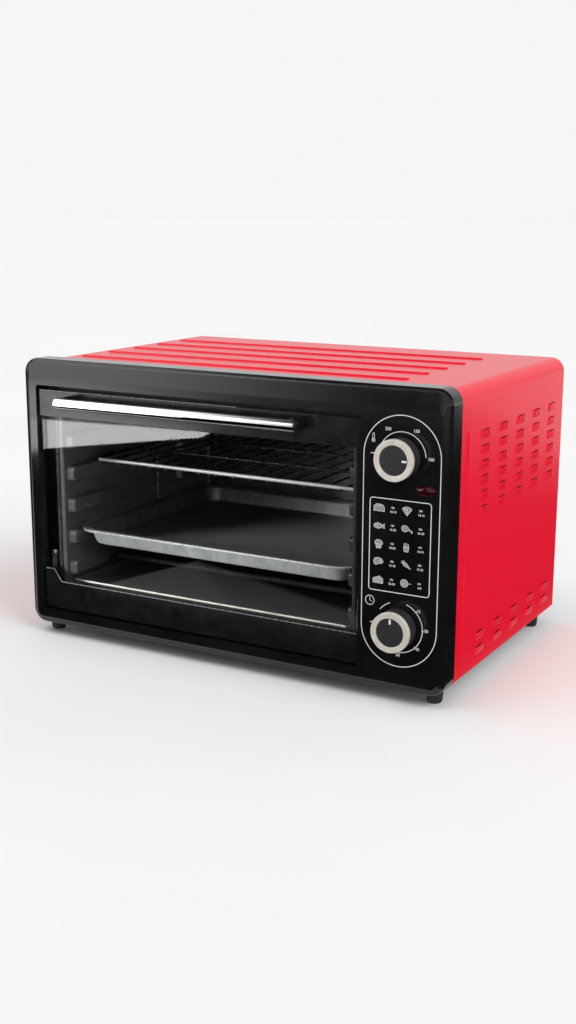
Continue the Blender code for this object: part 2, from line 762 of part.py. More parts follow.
def add_raised_bar(shape, low, high, place, height):
    # Pressed rib with round ends and sloping sides, sunk slightly in the sheet.
    steps = 4
    radius = min(high[0] - low[0], high[1] - low[1]) / 2
    base = rounded_ring(low[0], high[0], low[1], high[1], radius, steps)
    slope = RIB_SIDE_SLOPE
    crest = rounded_ring(low[0] + slope, high[0] - slope, low[1] + slope, high[1] - slope,
                         radius - slope, steps)
    rings = [
        [shape.verts.new(place(u, v, -RIB_BITE)) for u, v in base],
        [shape.verts.new(place(u, v, 0)) for u, v in base],
        [shape.verts.new(place(u, v, height)) for u, v in crest],
    ]
    count = len(base)
    for lower, upper in zip(rings, rings[1:]):
        for index in range(count):
            after = (index + 1) % count
            shape.faces.new((lower[index], lower[after], upper[after], upper[index]))
    shape.faces.new(list(reversed(rings[0])))
    shape.faces.new(rings[-1])


def make_rear_panel(parts, steel):
    bottom = COVER_BOTTOM + SHEET + SEAT_GAP
    top = COVER_TOP - SHEET - SEAT_GAP
    radius = COVER_CORNER - SHEET - SEAT_GAP
    outline = [(PANEL_HALF, bottom)]
    for centre_x, first in ((PANEL_HALF - radius, 0), (radius - PANEL_HALF, 90)):
        for step in range(CORNER_STEPS + 1):
            angle = math.radians(first + 90 * step / CORNER_STEPS)
            outline.append((centre_x + radius * math.cos(angle),
                            top - radius + radius * math.sin(angle)))
    outline.append((-PANEL_HALF, bottom))
    outlines = [outline]
    columns = spread(0, PANEL_HALF - REAR_SLOT_PITCH_X, REAR_SLOT_PITCH_X)
    columns += [-x for x in columns[1:]]
    for x in columns:
        for row in range(REAR_SLOT_ROWS):
            z = BODY_HEIGHT - REAR_SLOT_MARGIN - row * REAR_SLOT_PITCH_Z
            outlines.append(rounded_ring(
                x - REAR_SLOT_LENGTH / 2, x + REAR_SLOT_LENGTH / 2,
                z - REAR_SLOT_HEIGHT / 2, z + REAR_SLOT_HEIGHT / 2, REAR_SLOT_HEIGHT / 2, 1))
    hole = 2 * (GLAND_RADIUS + SEAT_GAP)
    outlines.append(ellipse(GLAND_X, GLAND_Z, hole, hole))
    return plate("rear_panel", outlines, SHEET, "front", PANEL_Y + SHEET / 2, parts, steel)


def make_gland(parts, rubber):
    # Bushing in the rear panel; distances run from the inner end to the nose.
    outside = PANEL_Y + SHEET + SEAT_GAP
    inner_end = PANEL_Y - GLAND_TAIL
    nose_end = BODY_DEPTH + GLAND_NOSE
    flange_end = outside + GLAND_FLANGE
    return turned("cord_gland", [
        (GLAND_BORE, nose_end - inner_end),
        (GLAND_RADIUS, nose_end - inner_end),
        (GLAND_NOSE_RADIUS, flange_end - inner_end),
        (GLAND_FLANGE_RADIUS, flange_end - inner_end),
        (GLAND_FLANGE_RADIUS, outside - inner_end),
        (GLAND_RADIUS, outside - inner_end),
        (GLAND_RADIUS, 0),
        (GLAND_BORE, 0),
    ], (GLAND_X, inner_end, GLAND_Z), (0, 1, 0), parts, rubber, sides=SMALL_SIDES, ring=True)


def make_base_pan(parts, tools, steel):
    front = COVER_FRONT_Y
    back = PANEL_Y - SEAT_GAP
    top = COVER_BOTTOM + PAN_WALL_HEIGHT
    pan = block("base_pan", (-PANEL_HALF, front, COVER_BOTTOM), (PANEL_HALF, back, top),
                parts, steel)
    cut(pan, block("pan_hollow", (SHEET - PANEL_HALF, front + SHEET, COVER_BOTTOM + SHEET),
                   (PANEL_HALF - SHEET, back - SHEET, top + OVERRUN), tools))
    middle_y = (front + back) / 2
    slots = []
    for index in range(PAN_SLOT_COUNT):
        x = (index - (PAN_SLOT_COUNT - 1) / 2) * PAN_SLOT_PITCH
        slots.append((
            (x - PAN_SLOT_WIDTH / 2, middle_y - PAN_SLOT_LENGTH / 2, COVER_BOTTOM - OVERRUN),
            (x + PAN_SLOT_WIDTH / 2, middle_y + PAN_SLOT_LENGTH / 2, COVER_BOTTOM + OVERRUN),
        ))
    return cut(pan, blocks("pan_slots", slots, tools))


def make_feet(parts, rubber):
    rear_y = BODY_DEPTH - FOOT_REAR_INSET
    places = (
        ("foot_front_left", -1, FOOT_FRONT_Y, -SEAT_GAP),
        ("foot_front_right", 1, FOOT_FRONT_Y, -SEAT_GAP),
        ("foot_rear_left", -1, rear_y, COVER_BOTTOM - SEAT_GAP),
        ("foot_rear_right", 1, rear_y, COVER_BOTTOM - SEAT_GAP),
    )
    for name, side, y, top in places:
        turned(name, [
            (0, top + FOOT_HEIGHT),
            (FOOT_RADIUS, top + FOOT_HEIGHT),
            (FOOT_RADIUS - FOOT_TAPER, FOOT_EDGE),
            (FOOT_RADIUS - FOOT_TAPER - FOOT_EDGE, 0),
            (0, 0),
        ], (side * (HALF_WIDTH - FOOT_SIDE_INSET), y, -FOOT_HEIGHT), (0, 0, 1), parts, rubber)


def rail_pads(name, side, inset, tools):
    # Pads pressed into a side wall; inset makes the smaller hollow behind each pad.
    wall = CAVITY_LEFT if side < 0 else CAVITY_RIGHT
    tip = wall - side * (RAIL_DEPTH - inset)
    root = wall + side * (SHEET + OVERRUN) if inset else wall + side * SHEET / 2
    shape = bmesh.new()
    for first_y in (RAIL_FRONT_Y, RAIL_REAR_Y):
        for top in RAIL_TOPS:
            base = rounded_ring(first_y + inset, first_y + RAIL_LENGTH - inset,
                                top - RAIL_HEIGHT + inset, top - inset, RAIL_ROUND, 1)
            rings = [[shape.verts.new((x, u, v)) for u, v in base] for x in (root, tip)]
            count = len(base)
            for index in range(count):
                after = (index + 1) % count
                shape.faces.new((rings[0][index], rings[0][after],
                                 rings[1][after], rings[1][index]))
            shape.faces.new(list(reversed(rings[0])))
            shape.faces.new(rings[1])
    bmesh.ops.recalc_face_normals(shape, faces=shape.faces)
    return mesh_object(name, shape, tools)


def rod_lines(start, end):
    return [((start, y, z), (end, y, z)) for y in ROD_LINES_Y for z in ROD_LINES_Z]


def make_side_wall(name, side, parts, tools, steel):
    wall = CAVITY_LEFT if side < 0 else CAVITY_RIGHT
    outer = wall + side * SHEET
    edge = (OPENING_LEFT - SURROUND_WALL) if side < 0 else (OPENING_RIGHT + SURROUND_WALL)
    low, high = sorted((wall, outer))
    item = block(name, (low, FLANGE_Y, CAVITY_BOTTOM + SEAT_GAP),
                 (high, CAVITY_BACK, CAVITY_TOP - SEAT_GAP), parts, steel)
    low, high = sorted((wall, edge))
    join(item, block(name + "_flange", (low, FLANGE_Y, CAVITY_BOTTOM + SEAT_GAP),
                     (high, CAVITY_FRONT, CAVITY_TOP - SEAT_GAP), tools))
    join(item, rail_pads(name + "_pads", side, 0, tools))
    cut(item, rail_pads(name + "_pad_hollows", side, SHEET, tools))
    low, high = sorted((wall - side * OVERRUN, outer + side * OVERRUN))
    cut(item, rods(name + "_rod_holes", rod_lines(low, high), ROD_RADIUS + SEAT_GAP, tools,
                   sides=ROD_SIDES))
    stay_low, stay_high = stay_span(side)
    slot_low = HINGE_Z + STAY_RADIUS - STAY_SLOT_BELOW
    slot_high = HINGE_Z + STAY_RADIUS + STAY_SLOT_ABOVE
    cut(item, block(
        name + "_stay_slot", (stay_low - STAY_SLOT_SIDE, FLANGE_Y - OVERRUN, slot_low),
        (stay_high + STAY_SLOT_SIDE, CAVITY_FRONT + OVERRUN, slot_high), tools))
    return item


def make_cavity(parts, tools, steel):
    make_side_wall("cavity_left_wall", -1, parts, tools, steel)
    make_side_wall("cavity_right_wall", 1, parts, tools, steel)
    left, right = CAVITY_LEFT - SHEET, CAVITY_RIGHT + SHEET
    edge_left, edge_right = OPENING_LEFT - SURROUND_WALL, OPENING_RIGHT + SURROUND_WALL
    roof = block("cavity_roof", (left, FLANGE_Y, CAVITY_TOP),
                 (right, CAVITY_BACK, CAVITY_TOP + SHEET), parts, steel)
    join(roof, block("roof_flange", (edge_left, FLANGE_Y, CAVITY_TOP),
                     (edge_right, CAVITY_FRONT, OPENING_TOP + SURROUND_WALL), tools))
    floor = block("cavity_floor", (left, FLANGE_Y, CAVITY_BOTTOM - SHEET),
                  (right, CAVITY_BACK, CAVITY_BOTTOM), parts, steel)
    join(floor, block("floor_flange", (edge_left, FLANGE_Y, OPENING_BOTTOM - SURROUND_WALL),
                      (edge_right, CAVITY_FRONT, CAVITY_BOTTOM), tools))
    block("cavity_back", (left, CAVITY_BACK + SEAT_GAP, CAVITY_BOTTOM - SHEET),
          (right, CAVITY_BACK + SEAT_GAP + SHEET, CAVITY_TOP + SHEET), parts, steel)


def make_heaters(parts, quartz):
    # Each rod goes through both side walls, with a collar outside and a pin at the end.
    inside = (CAVITY_RIGHT - CAVITY_LEFT) / 2 + SHEET + SEAT_GAP
    collar = inside + ROD_COLLAR
    end = collar + ROD_PIN
    half_profile = [
        (0, end), (ROD_PIN_RADIUS, end), (ROD_PIN_RADIUS, collar),
        (ROD_COLLAR_RADIUS, collar), (ROD_COLLAR_RADIUS, inside), (ROD_RADIUS, inside),
    ]
    profile = half_profile + [(radius, -distance) for radius, distance in reversed(half_profile)]
    for level, z in zip(("bottom", "top"), ROD_LINES_Z):
        for line, y in zip(("front", "rear"), ROD_LINES_Y):
            turned("heater_" + level + "_" + line, profile, (OPENING_MIDDLE, y, z), (1, 0, 0),
                   parts, quartz, sides=ROD_SIDES)


def make_rack(parts, tools, chrome, axis):
    left = SHELF_LEFT + RACK_FRAME_RADIUS
    right = SHELF_RIGHT - RACK_FRAME_RADIUS
    front = RACK_FRONT_Y
    back = CAVITY_BACK - RACK_REAR_GAP
    loop = [(x, y, RACK_Z) for x, y in rounded_ring(left, right, front, back, RACK_CORNER, 4)]
    rack = tube("wire_rack", loop, RACK_FRAME_RADIUS, parts, chrome, closed=True)
    wire_z = RACK_Z - RACK_FRAME_RADIUS - RACK_WIRE_RADIUS + WELD_BITE
    places = spread(left + RACK_WIRE_MARGIN, right - RACK_WIRE_MARGIN, RACK_WIRE_PITCH)
    shift = OPENING_MIDDLE - (places[0] + places[-1]) / 2
    lines = [((x + shift, front - RACK_WIRE_END, wire_z), (x + shift, back + RACK_WIRE_END, wire_z))
             for x in places]
    join(rack, rods("rack_wires", lines, RACK_WIRE_RADIUS, tools, sides=WIRE_SIDES))
    cross_z = wire_z + RACK_WIRE_RADIUS + RACK_CROSS_RADIUS - WELD_BITE
    crosses = []
    for share in RACK_CROSS_SHARES:
        y = front + (back - front) * share
        crosses.append(((left - WELD_BITE, y, cross_z), (right + WELD_BITE, y, cross_z)))
    join(rack, rods("rack_crosses", crosses, RACK_CROSS_RADIUS, tools, sides=WIRE_SIDES))
    carry(rack, axis)


def tray_ring(front, back, inset, radius, z):
    return [
        (x, y, z) for x, y in rounded_ring(
            SHELF_LEFT + inset, SHELF_RIGHT - inset, front + inset, back - inset, radius)
    ]


def make_tray(parts, steel, axis):
    # Sheet surface from the floor up the sloping wall and out to the rolled rim.
    rim = RAIL_TOPS[TRAY_RAIL] + SEAT_GAP + TRAY_RIM_LIP
    bottom = rim + TRAY_SHEET - TRAY_HEIGHT
    wall_foot = TRAY_RIM + TRAY_TAPER
    bend = TRAY_FLOOR_ROUND * TRAY_FLOOR_ROUND_SHARE
    lip = TRAY_RIM_LIP * TRAY_LIP_SHARE
    back = CAVITY_BACK - TRAY_REAR_GAP
    steps = (
        (wall_foot + TRAY_FLOOR_ROUND, bottom),
        (wall_foot + bend, bottom + bend),
        (wall_foot, bottom + TRAY_FLOOR_ROUND),
        (TRAY_RIM + lip, rim - lip),
        (TRAY_RIM - lip, rim),
        (TRAY_RIM_LIP, rim),
        (0, rim - lip),
        (0, rim - TRAY_RIM_LIP),
    )
    rings = [tray_ring(TRAY_FRONT_Y, back, inset, TRAY_CORNER - inset * TRAY_CORNER_SHARE, z)
             for inset, z in steps]
    tray = loft("baking_tray", rings, parts, steel, close_end=False)
    thicken(tray, TRAY_SHEET)
    carry(tray, axis)


def make_crumb_tray(parts, steel, axis):
    bottom = CAVITY_BOTTOM + SEAT_GAP
    top = bottom + CRUMB_HEIGHT
    back = CAVITY_BACK - CRUMB_REAR_GAP
    steps = (
        (CRUMB_RIM + TRAY_SHEET, bottom),
        (CRUMB_RIM, bottom + TRAY_SHEET),
        (CRUMB_RIM, top - TRAY_SHEET),
        (0, top),
    )
    rings = [tray_ring(CRUMB_FRONT_Y, back, inset, CRUMB_CORNER, z) for inset, z in steps]
    tray = loft("crumb_tray", rings, parts, steel, close_end=False)
    thicken(tray, TRAY_SHEET)
    carry(tray, axis)


def make_door_glass(parts, tools, glass, axis):
    top = DOOR_TOP - STRIP_SHEET - SEAT_GAP
    pane = block("door_glass", (DOOR_LEFT, GLASS_Y, GLASS_BOTTOM),
                 (DOOR_RIGHT, GLASS_BACK, top), parts, glass)
    cut(pane, handle_screw_holes("glass_holes", tools))
    carry(pane, axis)


def handle_screw_holes(name, tools):
    return rods(name, [
        ((x, DOOR_RECESS - OVERRUN, HANDLE_Z), (x, DOOR_BACK + OVERRUN, HANDLE_Z))
        for x in POST_XS
    ], SCREW_RADIUS + SEAT_GAP, tools)


def make_door_strips(parts, tools, black, axis):
    # Top strip: a folded channel over the upper edge of the glass.
    low = DOOR_TOP - TOP_STRIP_HEIGHT
    channel = [
        (DOOR_RECESS, low), (DOOR_RECESS, DOOR_TOP), (DOOR_BACK, DOOR_TOP), (DOOR_BACK, low),
        (STRIP_BACK, low), (STRIP_BACK, DOOR_TOP - STRIP_SHEET),
        (DOOR_RECESS + STRIP_SHEET, DOOR_TOP - STRIP_SHEET), (DOOR_RECESS + STRIP_SHEET, low),
    ]
    middle = (DOOR_LEFT + DOOR_RIGHT) / 2
    strip = plate("door_top_strip", [channel], DOOR_RIGHT - DOOR_LEFT, "side", middle,
                  parts, black)
    soften(strip, STRIP_EDGE)
    cut(strip, handle_screw_holes("strip_holes", tools))
    carry(strip, axis)

    # Bottom strip: front and back legs with a raised left corner, closed underneath.
    step_top = LOW_STRIP_TOP + LOW_STRIP_STEP
    face = [
        (DOOR_LEFT, DOOR_BOTTOM), (DOOR_RIGHT, DOOR_BOTTOM), (DOOR_RIGHT, LOW_STRIP_TOP),
        (DOOR_LEFT + LOW_STRIP_STEP_WIDTH + LOW_STRIP_STEP_SLOPE, LOW_STRIP_TOP),
        (DOOR_LEFT + LOW_STRIP_STEP_WIDTH, step_top), (DOOR_LEFT, step_top),
    ]
    strip = plate("door_bottom_strip", [face], STRIP_SHEET, "front",
                  DOOR_RECESS + STRIP_SHEET / 2, parts, black)
    join(strip, plate("low_strip_back", [face], STRIP_SHEET, "front",
                      STRIP_BACK + STRIP_SHEET / 2, tools))
    join(strip, block(
        "low_strip_fold", (DOOR_LEFT, DOOR_RECESS + STRIP_SHEET / 2, DOOR_BOTTOM),
        (DOOR_RIGHT, DOOR_BACK - STRIP_SHEET / 2, DOOR_BOTTOM + STRIP_SHEET), tools))
    carry(strip, axis)


def make_hinges(parts, tools, steel, axis):
    low = DOOR_BOTTOM + STRIP_SHEET + SEAT_GAP
    high = GLASS_BOTTOM - SEAT_GAP
    for name, side, edge in (("door_hinge_left", -1, DOOR_LEFT),
                             ("door_hinge_right", 1, DOOR_RIGHT)):
        inner = edge - side * HINGE_BLOCK_LENGTH
        first, last = sorted((inner, edge))
        hinge = block(name, (first, GLASS_Y, low), (last, GLASS_BACK, high), parts, steel)
        tip = edge + side * (DOOR_SIDE_GAP + HINGE_PIN_REACH)
        join(hinge, rods(name + "_pin", [((inner + side * SHEET, HINGE_Y, HINGE_Z),
                                          (tip, HINGE_Y, HINGE_Z))],
                         HINGE_PIN_RADIUS, tools))
        carry(hinge, axis)


def stay_span(side):
    # X range of the flat stay beside each cavity wall.
    edge = DOOR_LEFT if side < 0 else DOOR_RIGHT
    outer = edge - side * STAY_INSET
    return tuple(sorted((outer, outer - side * STAY_SHEET)))


def arc_points(radius, first, last, step):
    count = max(1, round(abs(last - first) / step))
    points = []
    for index in range(count + 1):
        angle = math.radians(first + (last - first) * index / count)
        points.append((HINGE_Y + radius * math.sin(angle), HINGE_Z + radius * math.cos(angle)))
    return points


def make_stays(parts, steel, axis):
    # Flat hooks curved about the hinge axis, so that each one slides in its own slot.
    outer = STAY_RADIUS + STAY_WIDTH / 2
    inner = STAY_RADIUS - STAY_WIDTH / 2
    face = DOOR_BACK + SEAT_GAP
    foot = HINGE_Z + STAY_FOOT_RISE
    outline = [(face, foot)]
    outline += arc_points(outer, STAY_START_DEGREES, STAY_END_DEGREES, STAY_STEP_DEGREES)
    outline += arc_points(inner, STAY_END_DEGREES, STAY_NECK_DEGREES, STAY_STEP_DEGREES)
    outline.append((face + STAY_FOOT_WIDTH, foot))
    for name, side in (("door_stay_left", -1), ("door_stay_right", 1)):
        low, high = stay_span(side)
        carry(plate(name, [outline], STAY_SHEET, "side", (low + high) / 2, parts, steel), axis)


def make_handle(parts, tools, chrome, black, steel, axis):
    half = (HANDLE_RIGHT - HANDLE_LEFT) / 2
    bar = turned("handle_bar", [
        (0, half), (HANDLE_RADIUS - HANDLE_END_ROUND, half),
        (HANDLE_RADIUS, half - HANDLE_END_ROUND), (HANDLE_RADIUS, HANDLE_END_ROUND - half),
        (HANDLE_RADIUS - HANDLE_END_ROUND, -half), (0, -half),
    ], (HANDLE_X, -HANDLE_REACH, HANDLE_Z), (1, 0, 0), parts, chrome)
    carry(bar, axis)
    for label, x in zip(("left", "right"), POST_XS):
        post = rods("handle_post_" + label,
                    [((x, DOOR_RECESS - SEAT_GAP, HANDLE_Z), (x, -POST_REACH, HANDLE_Z))],
                    POST_RADIUS, parts, black, sides=ROUND_SIDES)
        cut(post, rods("post_saddle_" + label, [
            ((x - POST_RADIUS - OVERRUN, -HANDLE_REACH, HANDLE_Z),
             (x + POST_RADIUS + OVERRUN, -HANDLE_REACH, HANDLE_Z)),
        ], HANDLE_RADIUS + SEAT_GAP, tools, sides=ROUND_SIDES))
        cut(post, rods("post_bore_" + label, [
            ((x, DOOR_RECESS + OVERRUN, HANDLE_Z), (x, DOOR_RECESS - POST_BORE_DEPTH, HANDLE_Z)),
        ], SCREW_RADIUS + SEAT_GAP, tools))
        carry(post, axis)
        shank_end = DOOR_RECESS - POST_BORE_DEPTH + SCREW_TIP_GAP
        seat = DOOR_BACK + SEAT_GAP - shank_end
        screw = turned("handle_screw_" + label, [
            (0, seat + SCREW_HEAD), (SCREW_HEAD_RADIUS * SCREW_FLAT_SHARE, seat + SCREW_HEAD),
            (SCREW_HEAD_RADIUS, seat + SCREW_HEAD * SCREW_RIM_SHARE),
            (SCREW_HEAD_RADIUS, seat), (SCREW_RADIUS, seat), (SCREW_RADIUS, 0), (0, 0),
        ], (x, shank_end, HANDLE_Z), (0, 1, 0), parts, steel, sides=SMALL_SIDES)
        carry(screw, axis)


def make_control(label, z, pointer_degrees, parts, tools, black, silver, steel, axis):
    # Knob, its trim ring and its shaft. Distances run forward from the bezel's face.
    face = KNOB_REACH - KNOB_FACE_DROP
    seat = KNOB_REACH - RING_DEPTH - SEAT_GAP
    core = RING_INNER - SEAT_GAP
    place = (CONTROL_X, 0, z)
    forward = (0, -1, 0)
    knob = turned(label + "_knob", [
        (0, face), (core, face), (core, seat), (KNOB_RADIUS - KNOB_TAPER, seat),
        (KNOB_RADIUS, KNOB_STAND), (0, KNOB_STAND),
    ], place, forward, parts, black, sides=KNOB_SIDES)
    shape = bmesh.new()
    tip = core - RING_EDGE
    add_block(shape, (-POINTER_WIDTH / 2, -face - POINTER_RISE, tip - POINTER_LENGTH),
              (POINTER_WIDTH / 2, WELD_BITE - face, tip))
    turn = Matrix.Rotation(math.radians(pointer_degrees), 4, "Y")
    bmesh.ops.transform(shape, matrix=turn, verts=shape.verts)
    bmesh.ops.translate(shape, vec=place, verts=shape.verts)
    join(knob, mesh_object(label + "_pointer", shape, tools))
    cut(knob, rods(label + "_knob_bore", [
        ((CONTROL_X, OVERRUN, z), (CONTROL_X, -KNOB_STAND - KNOB_BORE_DEPTH, z)),
    ], SHAFT_RADIUS + SEAT_GAP, tools))
    carry(knob, axis)
    ring = turned(label + "_knob_ring", [
        (RING_INNER, KNOB_REACH - RING_EDGE), (RING_INNER + RING_EDGE, KNOB_REACH),
        (RING_OUTER - RING_EDGE, KNOB_REACH), (RING_OUTER, KNOB_REACH - RING_EDGE),
        (RING_OUTER, KNOB_REACH - RING_DEPTH), (RING_INNER, KNOB_REACH - RING_DEPTH),
    ], place, forward, parts, silver, sides=KNOB_SIDES, ring=True)
    carry(ring, axis)
    front_end = -KNOB_STAND - KNOB_BORE_DEPTH + SEAT_GAP
    back_end = PLATE_Y + PLATE_SHEET + SHAFT_INSET
    carry(rods(label + "_shaft", [((CONTROL_X, front_end, z), (CONTROL_X, back_end, z))],
               SHAFT_RADIUS, parts, steel), axis)


def make_control_plate(parts, tools, steel):
    outlines = [rounded_ring(PLATE_LEFT, PLATE_RIGHT, PLATE_BOTTOM, PLATE_TOP, PLATE_CORNER, 2)]
    hole = 2 * SHAFT_HOLE_RADIUS
    for z in (TEMPERATURE_Z, TIMER_Z):
        outlines.append(ellipse(CONTROL_X, z, hole, hole))
    side = HOLDER_WIDTH / 2 + HOLDER_ROOM
    rise = HOLDER_HEIGHT / 2 + HOLDER_ROOM
    outlines.append([(LAMP_X - side, LAMP_Z - rise), (LAMP_X + side, LAMP_Z - rise),
                     (LAMP_X + side, LAMP_Z + rise), (LAMP_X - side, LAMP_Z + rise)])
    return plate("control_plate", outlines, PLATE_SHEET, "front", PLATE_Y + PLATE_SHEET / 2,
                 parts, steel)


def make_inner_controls(parts, tools, steel, ceramic, brass):
    back = PLATE_Y + PLATE_SHEET + SEAT_GAP
    side, rise = THERMOSTAT_WIDTH / 2, THERMOSTAT_HEIGHT / 2
    thermostat = rounded_block(
        "thermostat_body", (CONTROL_X - side, back, TEMPERATURE_Z - rise),
        (CONTROL_X + side, back + THERMOSTAT_DEPTH, TEMPERATURE_Z + rise),
        1, CERAMIC_ROUND, parts, ceramic)
    timer = turned("timer_body", [
        (0, TIMER_DEPTH), (TIMER_RADIUS - TIMER_RIM, TIMER_DEPTH),
        (TIMER_RADIUS - TIMER_RIM, TIMER_RIM), (TIMER_RADIUS, TIMER_RIM), (TIMER_RADIUS, 0),
        (0, 0),
    ], (CONTROL_X, back, TIMER_Z), (0, 1, 0), parts, steel)
    bore = SHAFT_RADIUS + SEAT_GAP
    for item, label, z in ((thermostat, "thermostat", TEMPERATURE_Z), (timer, "timer", TIMER_Z)):
        cut(item, rods(label + "_bore", [
            ((CONTROL_X, back - OVERRUN, z), (CONTROL_X, back + SHAFT_INSET, z)),
        ], bore, tools))
    # Bell: a shallow cup over the back of the timer, open towards it.
    crown = BELL_RADIUS * BELL_CROWN_SHARE
    shoulder = BELL_RADIUS * BELL_SHOULDER_SHARE
    drop = BELL_DEPTH * BELL_SHOULDER_DEPTH_SHARE
    turned("timer_bell", [
        (0, BELL_DEPTH), (crown, BELL_DEPTH), (shoulder, drop),
        (BELL_RADIUS, 0), (BELL_RADIUS - BELL_WALL, 0), (shoulder - BELL_WALL, drop - BELL_WALL),
        (crown, BELL_DEPTH - BELL_WALL), (0, BELL_DEPTH - BELL_WALL),
    ], (CONTROL_X, back + TIMER_DEPTH + SEAT_GAP, TIMER_Z), (0, 1, 0), parts, brass,
        sides=SMALL_SIDES)


def make_lamp(parts, tools, red_lens, ceramic):
    lens = plate("power_lamp_lens",
                 [ellipse(LAMP_X, LAMP_Z, LENS_WIDTH, LENS_HEIGHT, LENS_SIDES)],
                 LENS_FLANGE, "front", -SEAT_GAP - LENS_FLANGE / 2, parts, red_lens)
    shape = bmesh.new()
    bmesh.ops.create_uvsphere(shape, u_segments=12, v_segments=6, radius=1.0)
    bmesh.ops.bisect_plane(shape, geom=shape.verts[:] + shape.edges[:] + shape.faces[:],
                           plane_co=(0, 0, 0), plane_no=(0, 1, 0), clear_outer=True)
    bmesh.ops.holes_fill(shape, edges=[edge for edge in shape.edges if edge.is_boundary])
    bmesh.ops.scale(shape, vec=(LENS_WIDTH / 2 - SEAT_GAP, LENS_DOME, LENS_HEIGHT / 2 - SEAT_GAP),
                    verts=shape.verts)
    bmesh.ops.translate(shape, vec=(LAMP_X, -SEAT_GAP - LENS_FLANGE / 2, LAMP_Z),
                        verts=shape.verts)
    bmesh.ops.recalc_face_normals(shape, faces=shape.faces)
    join(lens, mesh_object("lens_dome", shape, tools))
    join(lens, plate("lens_stem",
                     [ellipse(LAMP_X, LAMP_Z, STEM_WIDTH, STEM_HEIGHT, LENS_SIDES)],
                     STEM_DEPTH + SEAT_GAP + LENS_FLANGE / 2, "front",
                     (STEM_DEPTH - SEAT_GAP - LENS_FLANGE / 2) / 2, tools))
    side, rise = HOLDER_WIDTH / 2, HOLDER_HEIGHT / 2
    front = STEM_DEPTH + SEAT_GAP
    rounded_block("power_lamp_holder", (LAMP_X - side, front, LAMP_Z - rise),
                  (LAMP_X + side, front + HOLDER_DEPTH, LAMP_Z + rise),
                  1, CERAMIC_ROUND, parts, ceramic)


def make_terminal(parts, tools, ceramic):
    low = COVER_BOTTOM + SHEET + SEAT_GAP
    top = low + TERMINAL_HEIGHT
    first = HALF_WIDTH - TERMINAL_SIDE_INSET - TERMINAL_WIDTH / 2
    front = BODY_DEPTH - TERMINAL_REAR_INSET
    back = front + TERMINAL_DEPTH
    body = block("terminal_block", (first, front, low), (first + TERMINAL_WIDTH, back, top),
                 parts, ceramic)
    pitch = TERMINAL_WIDTH / TERMINAL_WAYS
    notches = []
    for way in range(TERMINAL_WAYS):
        middle = first + pitch / 2 + way * pitch
        notches.append((
            (middle - TERMINAL_NOTCH / 2, front - OVERRUN, top - TERMINAL_NOTCH_DEPTH),
            (middle + TERMINAL_NOTCH / 2, back + OVERRUN, top + OVERRUN),
        ))
    return cut(body, blocks("terminal_notches", notches, tools))


def main():
    clear_scene()
    parts = new_group("countertop_oven")
    tools = new_group("cutters")
    axes = new_group("joint_axes")

    black = finish("black_gloss_plastic", (0.012, 0.012, 0.013), 0.22)
    matt_black = finish("black_plastic", (0.015, 0.015, 0.016), 0.45)
    coated = finish("black_coated_steel", (0.02, 0.02, 0.021), 0.3, 0.6)
    red = finish("red_painted_steel", (0.66, 0.006, 0.02), 0.2)
    steel = finish("galvanised_steel", (0.35, 0.35, 0.35), 0.35, 1.0)
    cavity_steel = finish("cavity_steel", (0.12, 0.12, 0.12), 0.3, 1.0)
    dark_steel = finish("dark_tray_steel", (0.09, 0.09, 0.09), 0.3, 0.8)
    chrome = finish("chrome", (0.82, 0.82, 0.82), 0.08, 1.0)
    silver = finish("silver_trim", (0.75, 0.72, 0.67), 0.25, 1.0)
    quartz = finish("heater_rod", (0.10, 0.10, 0.10), 0.4, 0.5)
    rubber = finish("black_rubber", (0.02, 0.02, 0.02), 0.7)
    ceramic = finish("cream_ceramic", (0.62, 0.58, 0.50), 0.6)
    brass = finish("brass", (0.70, 0.52, 0.22), 0.3, 1.0)
    lens = finish("red_lens", (0.20, 0.005, 0.008), 0.15)
    glass = finish("door_glass", (0.55, 0.56, 0.56), 0.03, clear=True)

    door_axis = carrier("door_hinge_axis", (OPENING_MIDDLE, HINGE_Y, HINGE_Z), axes)
    rack_axis = carrier("rack_slide_axis", (OPENING_MIDDLE, RACK_FRONT_Y, RACK_Z), axes)
    tray_axis = carrier("tray_slide_axis", (OPENING_MIDDLE, TRAY_FRONT_Y, RAIL_TOPS[TRAY_RAIL]),
                        axes)
    crumb_axis = carrier("crumb_slide_axis", (OPENING_MIDDLE, CRUMB_FRONT_Y, CAVITY_BOTTOM), axes)
    temperature_axis = carrier("temperature_axis", (CONTROL_X, 0, TEMPERATURE_Z), axes)
    timer_axis = carrier("timer_axis", (CONTROL_X, 0, TIMER_Z), axes)

    make_bezel(parts, tools, black)
    make_cover(parts, tools, red)
    make_rear_panel(parts, steel)
    make_gland(parts, rubber)
    make_base_pan(parts, tools, steel)
    make_feet(parts, rubber)
    make_cavity(parts, tools, cavity_steel)
    make_heaters(parts, quartz)
    make_rack(parts, tools, chrome, rack_axis)
    make_tray(parts, dark_steel, tray_axis)
    make_crumb_tray(parts, steel, crumb_axis)
    make_door_glass(parts, tools, glass, door_axis)
    make_door_strips(parts, tools, coated, door_axis)
    make_hinges(parts, tools, steel, door_axis)
    make_stays(parts, steel, door_axis)
    make_handle(parts, tools, chrome, matt_black, steel, door_axis)
    make_control("temperature", TEMPERATURE_Z, 90, parts, tools, matt_black, silver, steel,
                 temperature_axis)
    make_control("timer", TIMER_Z, 0, parts, tools, matt_black, silver, steel, timer_axis)
    make_control_plate(parts, tools, steel)
    make_inner_controls(parts, tools, steel, ceramic, brass)
    make_lamp(parts, tools, lens, ceramic)
    make_terminal(parts, tools, ceramic)
    shade_round(parts)


main()
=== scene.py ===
import math

import bmesh
import bpy
from mathutils import Matrix, Vector


